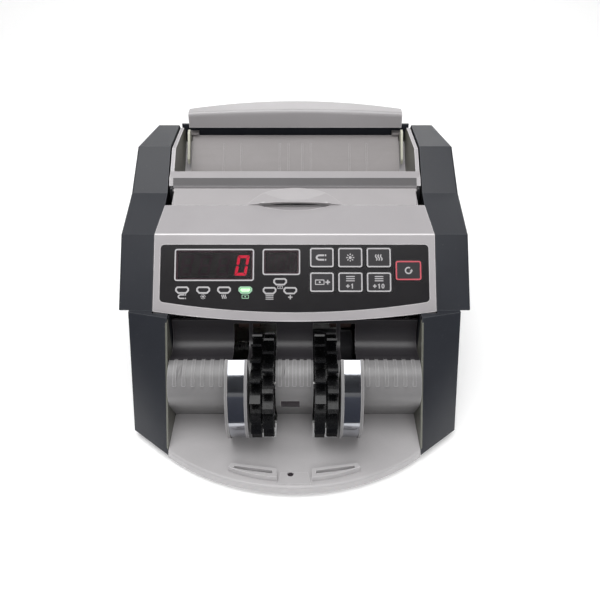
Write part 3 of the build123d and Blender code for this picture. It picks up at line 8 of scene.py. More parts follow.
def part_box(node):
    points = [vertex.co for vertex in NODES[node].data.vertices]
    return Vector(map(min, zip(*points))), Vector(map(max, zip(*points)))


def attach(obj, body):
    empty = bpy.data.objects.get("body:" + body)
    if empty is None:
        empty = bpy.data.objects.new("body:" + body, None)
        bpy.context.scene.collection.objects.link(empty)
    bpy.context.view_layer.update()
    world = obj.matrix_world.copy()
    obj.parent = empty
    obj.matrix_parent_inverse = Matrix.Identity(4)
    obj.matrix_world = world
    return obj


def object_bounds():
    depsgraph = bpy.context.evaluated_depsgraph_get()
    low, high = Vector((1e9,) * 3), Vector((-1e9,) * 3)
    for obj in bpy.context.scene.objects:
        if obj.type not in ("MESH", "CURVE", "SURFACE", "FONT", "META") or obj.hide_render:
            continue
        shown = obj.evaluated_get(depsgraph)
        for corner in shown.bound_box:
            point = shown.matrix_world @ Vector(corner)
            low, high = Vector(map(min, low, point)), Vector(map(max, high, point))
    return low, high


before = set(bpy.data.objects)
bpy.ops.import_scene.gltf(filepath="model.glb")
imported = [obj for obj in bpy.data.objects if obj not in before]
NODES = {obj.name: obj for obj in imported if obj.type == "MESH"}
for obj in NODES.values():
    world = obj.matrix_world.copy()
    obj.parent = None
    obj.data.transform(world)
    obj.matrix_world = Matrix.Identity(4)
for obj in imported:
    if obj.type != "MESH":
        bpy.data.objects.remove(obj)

# Banknote counting machine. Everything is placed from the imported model: node boxes and node meshes.
CAD_BOX = [[float(v) for v in p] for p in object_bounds()]


# ------------------------------------------------------------------ reading the frame
def verts(node):
    o = NODES[node]
    co = np.empty(len(o.data.vertices) * 3)
    o.data.vertices.foreach_get("co", co)
    return co.reshape(-1, 3)


def islands(node, tol=1e-6):
    """Vertex arrays of a node's separate solids, joined by position."""
    o = NODES[node]
    co = verts(node)
    key = {}
    idx = []
    for v in np.round(co / tol).astype(np.int64):
        idx.append(key.setdefault(tuple(v), len(key)))
    parent = list(range(len(key)))

    def find(a):
        while parent[a] != a:
            parent[a] = parent[parent[a]]
            a = parent[a]
        return a

    for p in o.data.polygons:
        r = find(idx[p.vertices[0]])
        for v in p.vertices[1:]:
            parent[find(idx[v])] = r
    groups = {}
    for i, k in enumerate(idx):
        groups.setdefault(find(k), []).append(i)
    return [co[g] for g in groups.values()]


def plane_normal(node, towards):
    """Unit normal of a node's largest flat side that faces a direction."""
    o = NODES[node]
    best = {}
    for p in o.data.polygons:
        n = p.normal
        if n.dot(Vector(towards)) > 0.2:
            k = (round(n.x, 2), round(n.y, 2), round(n.z, 2))
            a = best.setdefault(k, [0.0, Vector()])
            a[0] += p.area
            a[1] += n * p.area
    n = max(best.values(), key=lambda a: a[0])[1]
    return n.normalized()


PN = plane_normal("membrane_overlay", (0, -1, 1))
PN.x = 0
PN.normalize()
PT = Vector((0, PN.z, -PN.y))          # up the panel
PNa, PTa = np.array(PN), np.array(PT)
FACE = float((verts("membrane_overlay") @ PNa).max())


def P(x, w, s):
    """Point on the panel: x, distance up the slope, distance along the normal (all absolute, metres)."""
    return Vector((x, 0, 0)) + PT * w + PN * s


def on_panel(co):
    """(x0, x1, w0, w1, top level) of some vertices, in panel coordinates."""
    w, s = co @ PTa, co @ PNa
    top = co[s > s.max() - 0.0009]
    return co[:, 0].min(), co[:, 0].max(), float(w.min()), float(w.max()), float(s.max())


# ------------------------------------------------------------------ materials
MATS = {}


def socket(node, name):
    return node.inputs[name]


class Tree:
    """Short way of writing shader nodes."""

    def __init__(self, name):
        self.m = bpy.data.materials.new(name)
        self.m.use_nodes = True
        self.t = self.m.node_tree
        self.t.nodes.clear()
        self.out = self.t.nodes.new("ShaderNodeOutputMaterial")
        self.tc = self.t.nodes.new("ShaderNodeTexCoord")
        self.x = -200

    def new(self, kind, **props):
        n = self.t.nodes.new(kind)
        for k, v in props.items():
            setattr(n, k, v)
        n.location = (self.x, 0)
        self.x -= 20
        return n

    def link(self, a, b):
        self.t.links.new(a, b)

    def coords(self, scale=(1, 1, 1), rot=(0, 0, 0)):
        m = self.new("ShaderNodeMapping")
        self.link(self.tc.outputs["Object"], m.inputs["Vector"])
        m.inputs["Scale"].default_value = scale
        m.inputs["Rotation"].default_value = rot
        return m.outputs["Vector"]

    def noise(self, scale, detail=2.0, rough=0.5, coords=None, distort=0.0):
        n = self.new("ShaderNodeTexNoise")
        n.inputs["Scale"].default_value = scale
        n.inputs["Detail"].default_value = detail
        n.inputs["Roughness"].default_value = rough
        n.inputs["Distortion"].default_value = distort
        self.link(coords or self.tc.outputs["Object"], n.inputs["Vector"])
        return n.outputs["Fac"]

    def ramp(self, value, a, b, lo=0.0, hi=1.0, smooth=True):
        n = self.new("ShaderNodeMapRange")
        n.interpolation_type = "SMOOTHSTEP" if smooth else "LINEAR"
        n.inputs["From Min"].default_value = a
        n.inputs["From Max"].default_value = b
        n.inputs["To Min"].default_value = lo
        n.inputs["To Max"].default_value = hi
        self.link(value, n.inputs["Value"])
        return n.outputs["Result"]

    def math(self, op, a, b=None):
        n = self.new("ShaderNodeMath", operation=op)
        for i, v in enumerate((a, b)):
            if v is None:
                continue
            if isinstance(v, (int, float)):
                n.inputs[i].default_value = v
            else:
                self.link(v, n.inputs[i])
        return n.outputs[0]

    def mix(self, fac, a, b):
        n = self.new("ShaderNodeMix", data_type="RGBA")
        if isinstance(fac, (int, float)):
            n.inputs[0].default_value = fac
        else:
            self.link(fac, n.inputs[0])
        for i, v in ((6, a), (7, b)):
            if isinstance(v, (tuple, list)):
                n.inputs[i].default_value = (*v[:3], 1)
            else:
                self.link(v, n.inputs[i])
        return n.outputs[2]

    def bump(self, height, dist, strength=1.0, normal=None):
        n = self.new("ShaderNodeBump")
        n.inputs["Distance"].default_value = dist
        n.inputs["Strength"].default_value = strength
        self.link(height, n.inputs["Height"])
        if normal is not None:
            self.link(normal, n.inputs["Normal"])
        return n.outputs["Normal"]

    def edge(self, radius, samples=6):
        """0 on flat surfaces, up to 1 at an edge: how far the rounded normal leans from the true one."""
        b = self.new("ShaderNodeBevel", samples=samples)
        b.inputs["Radius"].default_value = radius
        g = self.new("ShaderNodeNewGeometry")
        d = self.new("ShaderNodeVectorMath", operation="DOT_PRODUCT")
        self.link(b.outputs["Normal"], d.inputs[0])
        self.link(g.outputs["Normal"], d.inputs[1])
        return self.ramp(d.outputs["Value"], 0.999, 0.93, 0.0, 1.0), b.outputs["Normal"]

    def principled(self, **values):
        n = self.new("ShaderNodeBsdfPrincipled")
        for k, v in values.items():
            s = n.inputs[k.replace("_", " ")]
            if isinstance(v, (int, float)):
                s.default_value = v
            elif isinstance(v, (tuple, list)):
                s.default_value = (*v, 1) if len(v) == 3 and len(s.default_value) == 4 else v
            else:
                self.link(v, s)
        return n

    def done(self, shader):
        self.link(shader.outputs[0] if hasattr(shader, "outputs") else shader, self.out.inputs["Surface"])
        MATS[self.m.name] = self.m
        return self.m


def plastic(name, color, light=None, rough=0.5, grain=0.0007, grain_depth=0.00002, mottle=0.05, edge=0.35, edge_r=0.0007, spec=0.5, coat=0.0, streaks=0.0,
            dust=0.0):
    """Moulded plastic: fine spark-eroded grain, slight flow mottling, and edges painted lighter, partly as wear and
    partly as a painted highlight.
    """
    t = Tree(name)
    c = Vector(color)
    lo, hi = tuple(c * (1 - mottle)), tuple(c * (1 + mottle))
    flow = t.noise(26, 3, 0.55, distort=0.6)
    fine = t.noise(1 / grain, 2, 0.5)
    mid = t.noise(190, 3, 0.6)
    base = t.mix(t.ramp(flow, 0.3, 0.7), lo, hi)
    base = t.mix(t.ramp(fine, 0.35, 0.75, 0, 0.35), base, tuple(c * (1 - 2.2 * mottle)))
    if streaks:
        s = t.noise(60, 2, 0.5, coords=t.coords((0.25, 3.0, 0.25)))
        base = t.mix(t.ramp(s, 0.45, 0.75, 0, streaks), base, tuple(c * 0.8))
    # edge mask: the edges are painted lighter, partly wear and partly a painted highlight
    mask, _ = t.edge(edge_r)
    edge_wear_and_highlight = t.math("MULTIPLY", mask, t.ramp(mid, 0.25, 0.6, 0.45, 1.0))
    lighter = light or tuple(min(1.0, v * 1.25 + 0.05) for v in color)
    base = t.mix(t.math("MULTIPLY", edge_wear_and_highlight, edge), base, lighter)
    if dust:
        d = t.noise(420, 4, 0.7)
        base = t.mix(t.ramp(d, 0.62, 0.8, 0, dust), base, (0.6, 0.59, 0.56))
    r = t.ramp(flow, 0.3, 0.7, rough - 0.012, rough + 0.015)
    r = t.math("SUBTRACT", r, t.math("MULTIPLY", edge_wear_and_highlight, 0.015))
    normal = t.bump(fine, grain_depth, 0.6)
    return t.done(t.principled(Base_Color=base, Roughness=r, Specular_IOR_Level=spec, Coat_Weight=coat, Normal=normal))


def metal(name, color, rough=0.3, axis="x", brush=0.5, edge=0.4, zinc=False):
    """Steel or plated sheet: brushed or turned lines, or zinc's fine crystal pattern."""
    t = Tree(name)
    c = Vector(color)
    if zinc:
        v = t.new("ShaderNodeTexVoronoi")
        v.inputs["Scale"].default_value = 260
        t.link(t.tc.outputs["Object"], v.inputs["Vector"])
        cells = v.outputs["Distance"]
        lines = t.noise(900, 2)
        base = t.mix(t.ramp(cells, 0.1, 0.8), tuple(c * 0.88), tuple(c * 1.05))
    else:
        scale = {"x": (6, 900, 900), "y": (900, 6, 900), "round": (900, 30, 30)}[axis]
        lines = t.noise(1.0, 3, 0.6, coords=t.coords(scale))
        base = t.mix(t.ramp(lines, 0.3, 0.7), tuple(c * 0.9), tuple(c * 1.06))
    # edges painted lighter: a painted highlight, partly wear
    mask, _ = t.edge(0.0004)
    base = t.mix(t.math("MULTIPLY", mask, edge), base, tuple(min(1.0, v * 1.2 + 0.05) for v in color))
    r = t.ramp(lines, 0.25, 0.75, max(0.05, rough - 0.10 * brush), rough + 0.14 * brush)
    normal = t.bump(lines, 0.000012, 0.5)
    return t.done(t.principled(Base_Color=base, Metallic=1.0, Roughness=r, Normal=normal))


plastic("m_side_cover", (0.018, 0.020, 0.026), light=(0.11, 0.115, 0.125), rough=0.40, spec=0.42, grain=0.0006, grain_depth=0.00003, mottle=0.06, edge=0.55, edge_r=0.0009,
        dust=0.05)
plastic("m_housing", (0.335, 0.319, 0.329), light=(0.86, 0.84, 0.85), rough=0.31, grain=0.0006, grain_depth=0.000012, mottle=0.025, edge=0.55, edge_r=0.0010, spec=0.85)
plastic("m_handle", (0.362, 0.347, 0.354), light=(0.88, 0.86, 0.87), rough=0.31, grain=0.0006, grain_depth=0.000012, mottle=0.03, edge=0.55, edge_r=0.0012, spec=0.85)
plastic("m_flap", (0.355, 0.338, 0.345), light=(0.76, 0.74, 0.75), rough=0.33, grain=0.0006, grain_depth=0.000012, mottle=0.025, edge=0.45, edge_r=0.0009, spec=0.85)
plastic("m_hopper", (0.245, 0.228, 0.228), light=(0.50, 0.48, 0.48), rough=0.46, grain=0.0007, grain_depth=0.000018, mottle=0.05, edge=0.40, edge_r=0.0006,
        streaks=0.25)
plastic("m_tray", (0.420, 0.408, 0.414), light=(0.66, 0.65, 0.66), rough=0.32, grain=0.0007, grain_depth=0.000015, mottle=0.04, edge=0.50, edge_r=0.0008)
plastic("m_stacker", (0.190, 0.186, 0.188), light=(0.55, 0.54, 0.55), rough=0.34, grain=0.0007, grain_depth=0.000015, mottle=0.05, edge=0.45, edge_r=0.0007)
# near-black copy of the stacker finish: painted shade under the panel's overhang
plastic("m_stacker_painted_shade", (0.027, 0.025, 0.028), light=(0.22, 0.21, 0.22), rough=0.34, grain=0.0007, grain_depth=0.000015, mottle=0.06, edge=0.40, edge_r=0.0006)
plastic("m_liner", (0.120, 0.121, 0.100), light=(0.36, 0.36, 0.33), rough=0.34, grain=0.0006, grain_depth=0.000015, mottle=0.06, edge=0.40, edge_r=0.0005)
plastic("m_wall_inner", (0.130, 0.128, 0.108), light=(0.30, 0.30, 0.27), rough=0.40, grain=0.0006, grain_depth=0.000015, mottle=0.06, edge=0.40, edge_r=0.0005)
# much lighter copy of the housing finish: a painted highlight along the panel's top edge
plastic("m_housing_painted_highlight", (0.62, 0.60, 0.61), light=(0.90, 0.88, 0.89), rough=0.22, grain=0.0006, grain_depth=0.000008, mottle=0.02, edge=0.4, edge_r=0.0008, spec=0.85)
# dark finish: a painted shadow line below the hopper bar
plastic("m_painted_shadow_strip", (0.085, 0.081, 0.084), light=(0.25, 0.24, 0.25), rough=0.45, grain=0.0006, grain_depth=0.000015, mottle=0.06, edge=0.30, edge_r=0.0004)
plastic("m_cream", (0.56, 0.56, 0.46), light=(0.78, 0.78, 0.68), rough=0.42, mottle=0.03, edge=0.4, edge_r=0.0006)
plastic("m_key", (0.022, 0.020, 0.023), light=(0.05, 0.048, 0.052), rough=0.40, grain=0.0004, grain_depth=0.000008, mottle=0.06, edge=0.25, edge_r=0.0004)
plastic("m_black", (0.016, 0.016, 0.018), light=(0.07, 0.07, 0.075), rough=0.42, mottle=0.08, edge=0.4, edge_r=0.0006)
plastic("m_rubber", (0.020, 0.020, 0.021), light=(0.06, 0.06, 0.06), rough=0.78, grain=0.0004, grain_depth=0.00004, mottle=0.15, edge=0.3, edge_r=0.0008, spec=0.3,
        dust=0.10)
plastic("m_roller", (0.075, 0.048, 0.042), light=(0.13, 0.09, 0.08), rough=0.72, grain=0.0003, grain_depth=0.00004, mottle=0.15, edge=0.3, spec=0.3, dust=0.08)
plastic("m_belt", (0.022, 0.022, 0.024), light=(0.06, 0.06, 0.06), rough=0.66, grain=0.0005, grain_depth=0.00003, mottle=0.12, edge=0.3)
plastic("m_motor", (0.045, 0.045, 0.050), light=(0.20, 0.20, 0.20), rough=0.35, mottle=0.08, edge=0.5, edge_r=0.0008)
plastic("m_ink", (0.42, 0.41, 0.42), rough=0.45, grain=0.0003, grain_depth=0.000006, mottle=0.06, edge=0.0)
plastic("m_ink_red", (0.52, 0.075, 0.10), rough=0.45, grain=0.0003, grain_depth=0.000006, mottle=0.08, edge=0.0)
plastic("m_ink_green", (0.30, 0.52, 0.36), rough=0.45, grain=0.0003, grain_depth=0.000006, mottle=0.08, edge=0.0)
metal("m_steel", (0.60, 0.60, 0.59), rough=0.26, axis="round")
metal("m_zinc", (0.52, 0.53, 0.52), rough=0.38, zinc=True)
metal("m_guide_steel", (0.58, 0.58, 0.57), rough=0.30, axis="y")

# printed film over the panel: satin, with a very slight orange peel
t = Tree("m_membrane")
peel = t.noise(650, 2, 0.5)
cloud = t.noise(40, 3, 0.6)
base = t.mix(t.ramp(cloud, 0.3, 0.7), (0.0070, 0.0060, 0.0074), (0.0095, 0.0084, 0.0100))
# the edges of the film are painted lighter: a painted highlight
mask, _ = t.edge(0.0005)
base = t.mix(t.math("MULTIPLY", mask, 0.5), base, (0.10, 0.098, 0.105))
t.done(t.principled(Base_Color=base, Roughness=t.ramp(peel, 0.3, 0.7, 0.30, 0.36), Specular_IOR_Level=0.42, Normal=t.bump(peel, 0.00001, 0.5)))

# tinted display window: dark, slightly see-through
t = Tree("m_window")
smear = t.noise(120, 4, 0.6)
glass = t.principled(Base_Color=t.mix(t.ramp(smear, 0.3, 0.7), (0.030, 0.027, 0.031), (0.038, 0.034, 0.039)), Roughness=t.ramp(smear, 0.3, 0.7, 0.10, 0.2),
                     Specular_IOR_Level=0.5)
clear = t.new("ShaderNodeBsdfTransparent")
clear.inputs["Color"].default_value = (0.86, 0.72, 0.74, 1)
mixer = t.new("ShaderNodeMixShader")
mixer.inputs[0].default_value = 0.42
t.link(clear.outputs[0], mixer.inputs[1])
t.link(glass.outputs[0], mixer.inputs[2])
t.done(mixer)

# black wheels: moulded elastomer with a soft sheen
t = Tree("m_wheel")
grain = t.noise(1500, 2)
scuff = t.noise(240, 4, 0.65)
base = t.mix(t.ramp(scuff, 0.5, 0.8, 0, 0.6), (0.0045, 0.0045, 0.005), (0.011, 0.011, 0.012))
# edges painted slightly lighter: a painted highlight on the black wheels
mask, _ = t.edge(0.0005)
base = t.mix(t.math("MULTIPLY", mask, 0.15), base, (0.05, 0.05, 0.055))
t.done(t.principled(Base_Color=base, Roughness=t.ramp(scuff, 0.3, 0.7, 0.20, 0.32), Specular_IOR_Level=0.35, Normal=t.bump(grain, 0.00001, 0.4)))

# polished chrome with faint wipe marks
t = Tree("m_chrome")
wipe = t.noise(1.0, 3, 0.55, coords=t.coords((40, 320, 320)))
spots = t.noise(500, 3, 0.6)
base = t.mix(t.ramp(spots, 0.55, 0.8, 0, 0.5), (0.40, 0.41, 0.44), (0.32, 0.33, 0.36))
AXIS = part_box("impeller_shaft")
off = t.new("ShaderNodeVectorMath", operation="SUBTRACT")
t.link(t.tc.outputs["Object"], off.inputs[0])
off.inputs[1].default_value = (0.0, (AXIS[0][1] + AXIS[1][1]) / 2, (AXIS[0][2] + AXIS[1][2]) / 2)
flat = t.new("ShaderNodeVectorMath", operation="MULTIPLY")
t.link(off.outputs[0], flat.inputs[0])
flat.inputs[1].default_value = (0.0, 1.0, 1.0)
radial = t.new("ShaderNodeVectorMath", operation="NORMALIZE")
t.link(flat.outputs[0], radial.inputs[0])
t.done(t.principled(Base_Color=base, Metallic=1.0, Roughness=t.ramp(wipe, 0.3, 0.75, 0.08, 0.16), Normal=t.bump(wipe, 0.000006, 0.4, normal=radial.outputs[0])))

# circuit board: green solder mask with copper tracks showing through
t = Tree("m_pcb")
v = t.new("ShaderNodeTexBrick")
v.inputs["Scale"].default_value = 160
v.inputs["Mortar Size"].default_value = 0.03
v.inputs["Color1"].default_value = (0.010, 0.085, 0.035, 1)
v.inputs["Color2"].default_value = (0.014, 0.105, 0.045, 1)
v.inputs["Mortar"].default_value = (0.05, 0.20, 0.08, 1)
t.link(t.tc.outputs["Object"], v.inputs["Vector"])
t.done(t.principled(Base_Color=v.outputs["Color"], Roughness=t.ramp(t.noise(300), 0.3, 0.7, 0.22, 0.38), Normal=t.bump(v.outputs["Fac"], 0.00004, 0.5)))

# transformer: varnished laminations and wound coil
t = Tree("m_transformer")
lam = t.new("ShaderNodeTexWave", wave_type="BANDS", bands_direction="Z")
lam.inputs["Scale"].default_value = 320
lam.inputs["Distortion"].default_value = 0.4
t.link(t.tc.outputs["Object"], lam.inputs["Vector"])
t.done(t.principled(Base_Color=t.mix(lam.outputs["Fac"], (0.16, 0.085, 0.035), (0.32, 0.20, 0.09)), Roughness=t.ramp(t.noise(200), 0.3, 0.7, 0.25, 0.45),
                    Metallic=0.4, Normal=t.bump(lam.outputs["Fac"], 0.00008, 0.6)))


def glow(name, color, body, strength, detail=700):
    """Lit plastic: an emissive body whose light is slightly uneven."""
    t = Tree(name)
    n = t.noise(detail, 2)
    e = t.mix(t.ramp(n, 0.3, 0.7), tuple(v * 0.88 for v in color), color)
    return t.done(t.principled(Base_Color=body, Roughness=t.ramp(n, 0.3, 0.7, 0.25, 0.4), Emission_Color=e, Emission_Strength=strength))


glow("m_digit", (1.0, 0.012, 0.075), (0.5, 0.02, 0.04), 2.3)
glow("m_lens_lit", (0.45, 1.0, 0.42), (0.3, 0.6, 0.3), 1.1)
plastic("m_lens", (0.020, 0.019, 0.021), light=(0.10, 0.10, 0.10), rough=0.22, grain=0.0005, grain_depth=0.000006, mottle=0.1, edge=0.4, edge_r=0.0003)
plastic("m_sensor", (0.014, 0.007, 0.012), light=(0.10, 0.09, 0.10), rough=0.14, grain=0.0008, grain_depth=0.000004, mottle=0.1, edge=0.5, edge_r=0.0004)
plastic("m_unlit", (0.040, 0.030, 0.033), rough=0.5, mottle=0.1, edge=0.0)
plastic("m_lamp", (0.10, 0.06, 0.22), light=(0.3, 0.25, 0.5), rough=0.12, mottle=0.08, edge=0.5)
plastic("m_dark_film", (0.012, 0.011, 0.013), rough=0.6, mottle=0.1, edge=0.0)

FINISH = {
    "side_cover_left": "m_side_cover", "side_cover_right": "m_side_cover", "rear_cover": "m_side_cover", "panel_housing": "m_housing", "hopper_frame": "m_housing",
    "access_flap": "m_flap", "carry_handle": "m_handle", "hopper_plate": "m_hopper", "stacker_guide": "m_stacker", "stacker_tray": "m_tray",
    "hopper_guide_left": "m_cream", "hopper_guide_right": "m_cream", "membrane_overlay": "m_membrane", "display_windows": "m_window",
    "indicator_lenses": "m_lens", "indicator_lens_lit": "m_lens_lit", "display_board": "m_pcb", "lit_digit": "m_digit", "chrome_guides": "m_chrome",
    "impeller_left": "m_wheel", "impeller_right": "m_wheel", "stacker_sensors": "m_sensor", "base_plate": "m_zinc", "side_frame_left": "m_zinc",
    "side_frame_right": "m_zinc", "stacker_brackets": "m_zinc", "cross_rods": "m_steel", "impeller_shaft": "m_steel", "feed_shaft": "m_steel",
    "pickup_shaft": "m_steel", "transport_shaft": "m_steel", "pinch_rollers": "m_steel", "main_motor_pulley": "m_steel", "stacker_motor_pulley": "m_steel",
    "rear_cover_screws": "m_steel", "note_guides": "m_guide_steel", "feed_rollers": "m_roller", "pickup_rollers": "m_roller", "transport_rollers": "m_roller",
    "rubber_feet": "m_rubber", "drive_belts": "m_belt", "main_motor": "m_motor", "stacker_motor": "m_motor", "transformer": "m_transformer",
    "main_board": "m_pcb", "uv_lamp": "m_lamp",
}
KEYS = [n for n in NODES if n.startswith("key_")]
for n, o in NODES.items():
    name = "m_key" if n in KEYS else FINISH.get(n, "m_black")
    o.data.materials.clear()
    o.data.materials.append(MATS[name])
    for p in o.data.polygons:
        p.material_index = 0


def second_finish(node, material, test):
    """Gives the faces of a node that pass a test (centre, normal) another finish."""
    o = NODES[node]
    o.data.materials.append(MATS[material])
    k = len(o.data.materials) - 1
    for p in o.data.polygons:
        if test(p.center, p.normal):
            p.material_index = k


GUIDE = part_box("stacker_guide")
CROWN_Y = GUIDE[0][1] + 0.0470
# the upper wall above the bulge's crown, shaded by the panel's overhang, gets the near-black finish: painted shade
second_finish("stacker_guide", "m_stacker_painted_shade", lambda c, n: c.y > CROWN_Y and c.z > GUIDE[0][2] + 0.045)
# the rounded faces along the panel's top edge get the lighter finish: a painted highlight
EDGE_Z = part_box("panel_housing")[1][2] - 0.0125
second_finish("panel_housing", "m_housing_painted_highlight", lambda c, n: c.z > EDGE_Z and c.z < EDGE_Z + 0.006 and n.y < -0.26 and 0.70 < n.z < 0.965)
# the sloped front face of the hopper bar gets the dark finish: a painted shadow line
second_finish("hopper_frame", "m_painted_shadow_strip", lambda c, n: n.z > 0.5 and n.y < -0.5 and c.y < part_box("hopper_frame")[0][1] + 0.0095 and abs(c.x) < 0.0957)
WALL_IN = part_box("hopper_plate")[1][0] + 0.0045
second_finish("hopper_frame", "m_wall_inner", lambda c, n: abs(c.x) > WALL_IN and n.x * c.x < -0.9 * abs(c.x) and c.z > 0.14)
FLAP_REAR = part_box("access_flap")[1][1]
second_finish("hopper_frame", "m_black", lambda c, n: abs(c.x) > 0.0952 and c.y < FLAP_REAR + 0.0018 and c.z < 0.1485)
for g in ("hopper_guide_left", "hopper_guide_right"):
    second_finish(g, "m_hopper", lambda c, n: c.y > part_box("hopper_plate")[1][1] - 0.0042 and abs(c.x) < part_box("hopper_plate")[1][0] + 0.001)


# ------------------------------------------------------------------ softened edges on the mouldings
def soften(node, width, angle=28, segments=3):
    o = NODES[node]
    m = o.modifiers.new("weld", "WELD")
    m.merge_threshold = 2e-6
    m = o.modifiers.new("flat", "DECIMATE")
    m.decimate_type = "DISSOLVE"
    m.angle_limit = math.radians(0.6)
    m = o.modifiers.new("bevel", "BEVEL")
    m.limit_method = "ANGLE"
    m.angle_limit = math.radians(angle)
    m.width = width
    m.segments = segments
    m.use_clamp_overlap = True
    m.harden_normals = True
    m = o.modifiers.new("normals", "WEIGHTED_NORMAL")
    m.keep_sharp = True


for node, width in (("side_cover_left", 0.0007), ("side_cover_right", 0.0007), ("carry_handle", 0.0008), ("access_flap", 0.0005), ("stacker_tray", 0.0005), ("panel_housing", 0.0006)):
    soften(node, width)


# ------------------------------------------------------------------ trim along the front edge of the pocket's side walls
def liner(node, name):
    """L-shaped strip over a side wall's leaning front edge, read from the cover's own corner points."""
    co = verts(node)
    sx = 1.0 if co[:, 0].mean() > 0 else -1.0
    x_in = float(np.abs(co[:, 0]).min())
    inner = co[np.abs(co[:, 0]) < x_in + 0.00005]
    low = inner[inner[:, 1].argmin()]
    high = inner[inner[:, 2] > inner[:, 2].max() - 0.0002]
    high = high[high[:, 1].argmin()]
    outer_low = co[(np.abs(co[:, 0]) > 0.1195) & (np.abs(co[:, 2] - low[2]) < 0.0003)]
    outer_low = outer_low[outer_low[:, 1].argmin()]
    skew = (float(outer_low[1]) - float(low[1])) / (abs(float(outer_low[0])) - x_in)
    z0, z1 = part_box("stacker_tray")[0][2] + 0.0067, float(high[2]) - 0.0030
    bm = bmesh.new()
    rows = []
    steps = 24
    for i in range(steps + 1):
        z = z0 + (z1 - z0) * i / steps
        f = (z - float(low[2])) / (float(high[2]) - float(low[2]))
        yf = float(low[1]) + f * (float(high[1]) - float(low[1]))
        k = skew * (1 - f) + 0.25 * f
        w = 0.0011
        back = -0.0575
        a, b = x_in - 0.00036, x_in + w
        sec = [(a, back), (a, yf - 0.0002), (a + 0.0004, yf - 0.00055), (b - 0.0004, yf + (b - x_in) * k - 0.00062), (b, yf + (b - x_in) * k - 0.0003),
               (b, yf + (b - x_in) * k + 0.0003), (x_in + 0.0001, yf + 0.0006), (x_in + 0.0001, back)]
        rows.append([bm.verts.new((sx * x, y, z)) for x, y in sec])
    n = len(rows[0])
    for i in range(steps):
        for j in range(n):
            jj = (j + 1) % n
            bm.faces.new((rows[i][j], rows[i][jj], rows[i + 1][jj], rows[i + 1][j]))
    bm.faces.new(rows[0][::-1])
    bm.faces.new(rows[-1])
    bmesh.ops.recalc_face_normals(bm, faces=bm.faces)
    me = bpy.data.meshes.new(name)
    bm.to_mesh(me)
    bm.free()
    me.materials.append(MATS["m_liner"])
    o = bpy.data.objects.new(name, me)
    bpy.context.scene.collection.objects.link(o)
    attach(o, "chassis")
    return o


liner("side_cover_left", "pocket_trim_left")
liner("side_cover_right", "pocket_trim_right")


# ------------------------------------------------------------------ printed graphics on the film, as thin raised ink
def rounded(x0, x1, w0, w1, r, n=6):
    pts = []
    for cx, cw, a0 in ((x1 - r, w1 - r, 0), (x0 + r, w1 - r, 90), (x0 + r, w0 + r, 180), (x1 - r, w0 + r, 270)):
        for i in range(n + 1):
            a = math.radians(a0 + 90 * i / n)
            pts.append((cx + r * math.cos(a), cw + r * math.sin(a)))
    return pts


class Ink:
    """Collects closed prisms standing on the panel and makes one piece of them."""

    def __init__(self, level, height=0.00009, sink=0.00006):
        self.bm = bmesh.new()
        self.lo, self.hi = level - sink, level + height

    def ring(self, outer, inner):
        n = len(outer)
        rows = []
        for pts, s in ((outer, self.lo), (outer, self.hi), (inner, self.hi), (inner, self.lo)):
            rows.append([self.bm.verts.new(P(x, w, s)) for x, w in pts])
        for k in range(4):
            a, b = rows[k], rows[(k + 1) % 4]
            for i in range(n):
                j = (i + 1) % n
                self.bm.faces.new((a[i], a[j], b[j], b[i]))

    def solid(self, pts):
        a = [self.bm.verts.new(P(x, w, self.lo)) for x, w in pts]
        b = [self.bm.verts.new(P(x, w, self.hi)) for x, w in pts]
        n = len(pts)
        for i in range(n):
            j = (i + 1) % n
            self.bm.faces.new((a[i], a[j], b[j], b[i]))
        self.bm.faces.new(b)
        self.bm.faces.new(a[::-1])

    def stroke(self, pts, width, closed=False):
        """A line of some width along points, as one prism per run with mitred joints."""
        pts = [Vector((x, w)) for x, w in pts]
        n = len(pts)
        left, right = [], []
        for i, p in enumerate(pts):
            prev = pts[i - 1] if (i > 0 or closed) else None
            nxt = pts[(i + 1) % n] if (i < n - 1 or closed) else None
            d1 = (p - prev).normalized() if prev is not None else None
            d2 = (nxt - p).normalized() if nxt is not None else None
            if d1 is None:
                d = d2
            elif d2 is None:
                d = d1
            else:
                d = (d1 + d2).normalized() if (d1 + d2).length > 1e-6 else d1
            nrm = Vector((-d.y, d.x))
            k = 1.0
            if d1 is not None and d2 is not None:
                k = 1 / max(0.5, nrm.dot(Vector((-d1.y, d1.x))))
            left.append(tuple(p + nrm * width / 2 * k))
            right.append(tuple(p - nrm * width / 2 * k))
        if closed:
            self.ring(right, left)
        else:
            self.solid(right + left[::-1])

    def piece(self, name, material, body):
        bmesh.ops.recalc_face_normals(self.bm, faces=self.bm.faces)
        me = bpy.data.meshes.new(name)
        self.bm.to_mesh(me)
        self.bm.free()
        me.materials.append(MATS[material])
        o = bpy.data.objects.new(name, me)
        bpy.context.scene.collection.objects.link(o)
        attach(o, body)
        return o


def grow(pts, cx, cw, d):
    """Offsets a convex outline by d."""
    out = []
    n = len(pts)
    for i in range(n):
        a, b, c = Vector(pts[i - 1]), Vector(pts[i]), Vector(pts[(i + 1) % n])
        d1, d2 = (b - a).normalized(), (c - b).normalized()
        n1, n2 = Vector((d1.y, -d1.x)), Vector((d2.y, -d2.x))
        if n1.dot(Vector((cx, cw)) - b) > 0:
            n1, n2 = -n1, -n2
        m = (n1 + n2).normalized()
        out.append(tuple(b + m * d / max(0.4, m.dot(n1))))
    return out


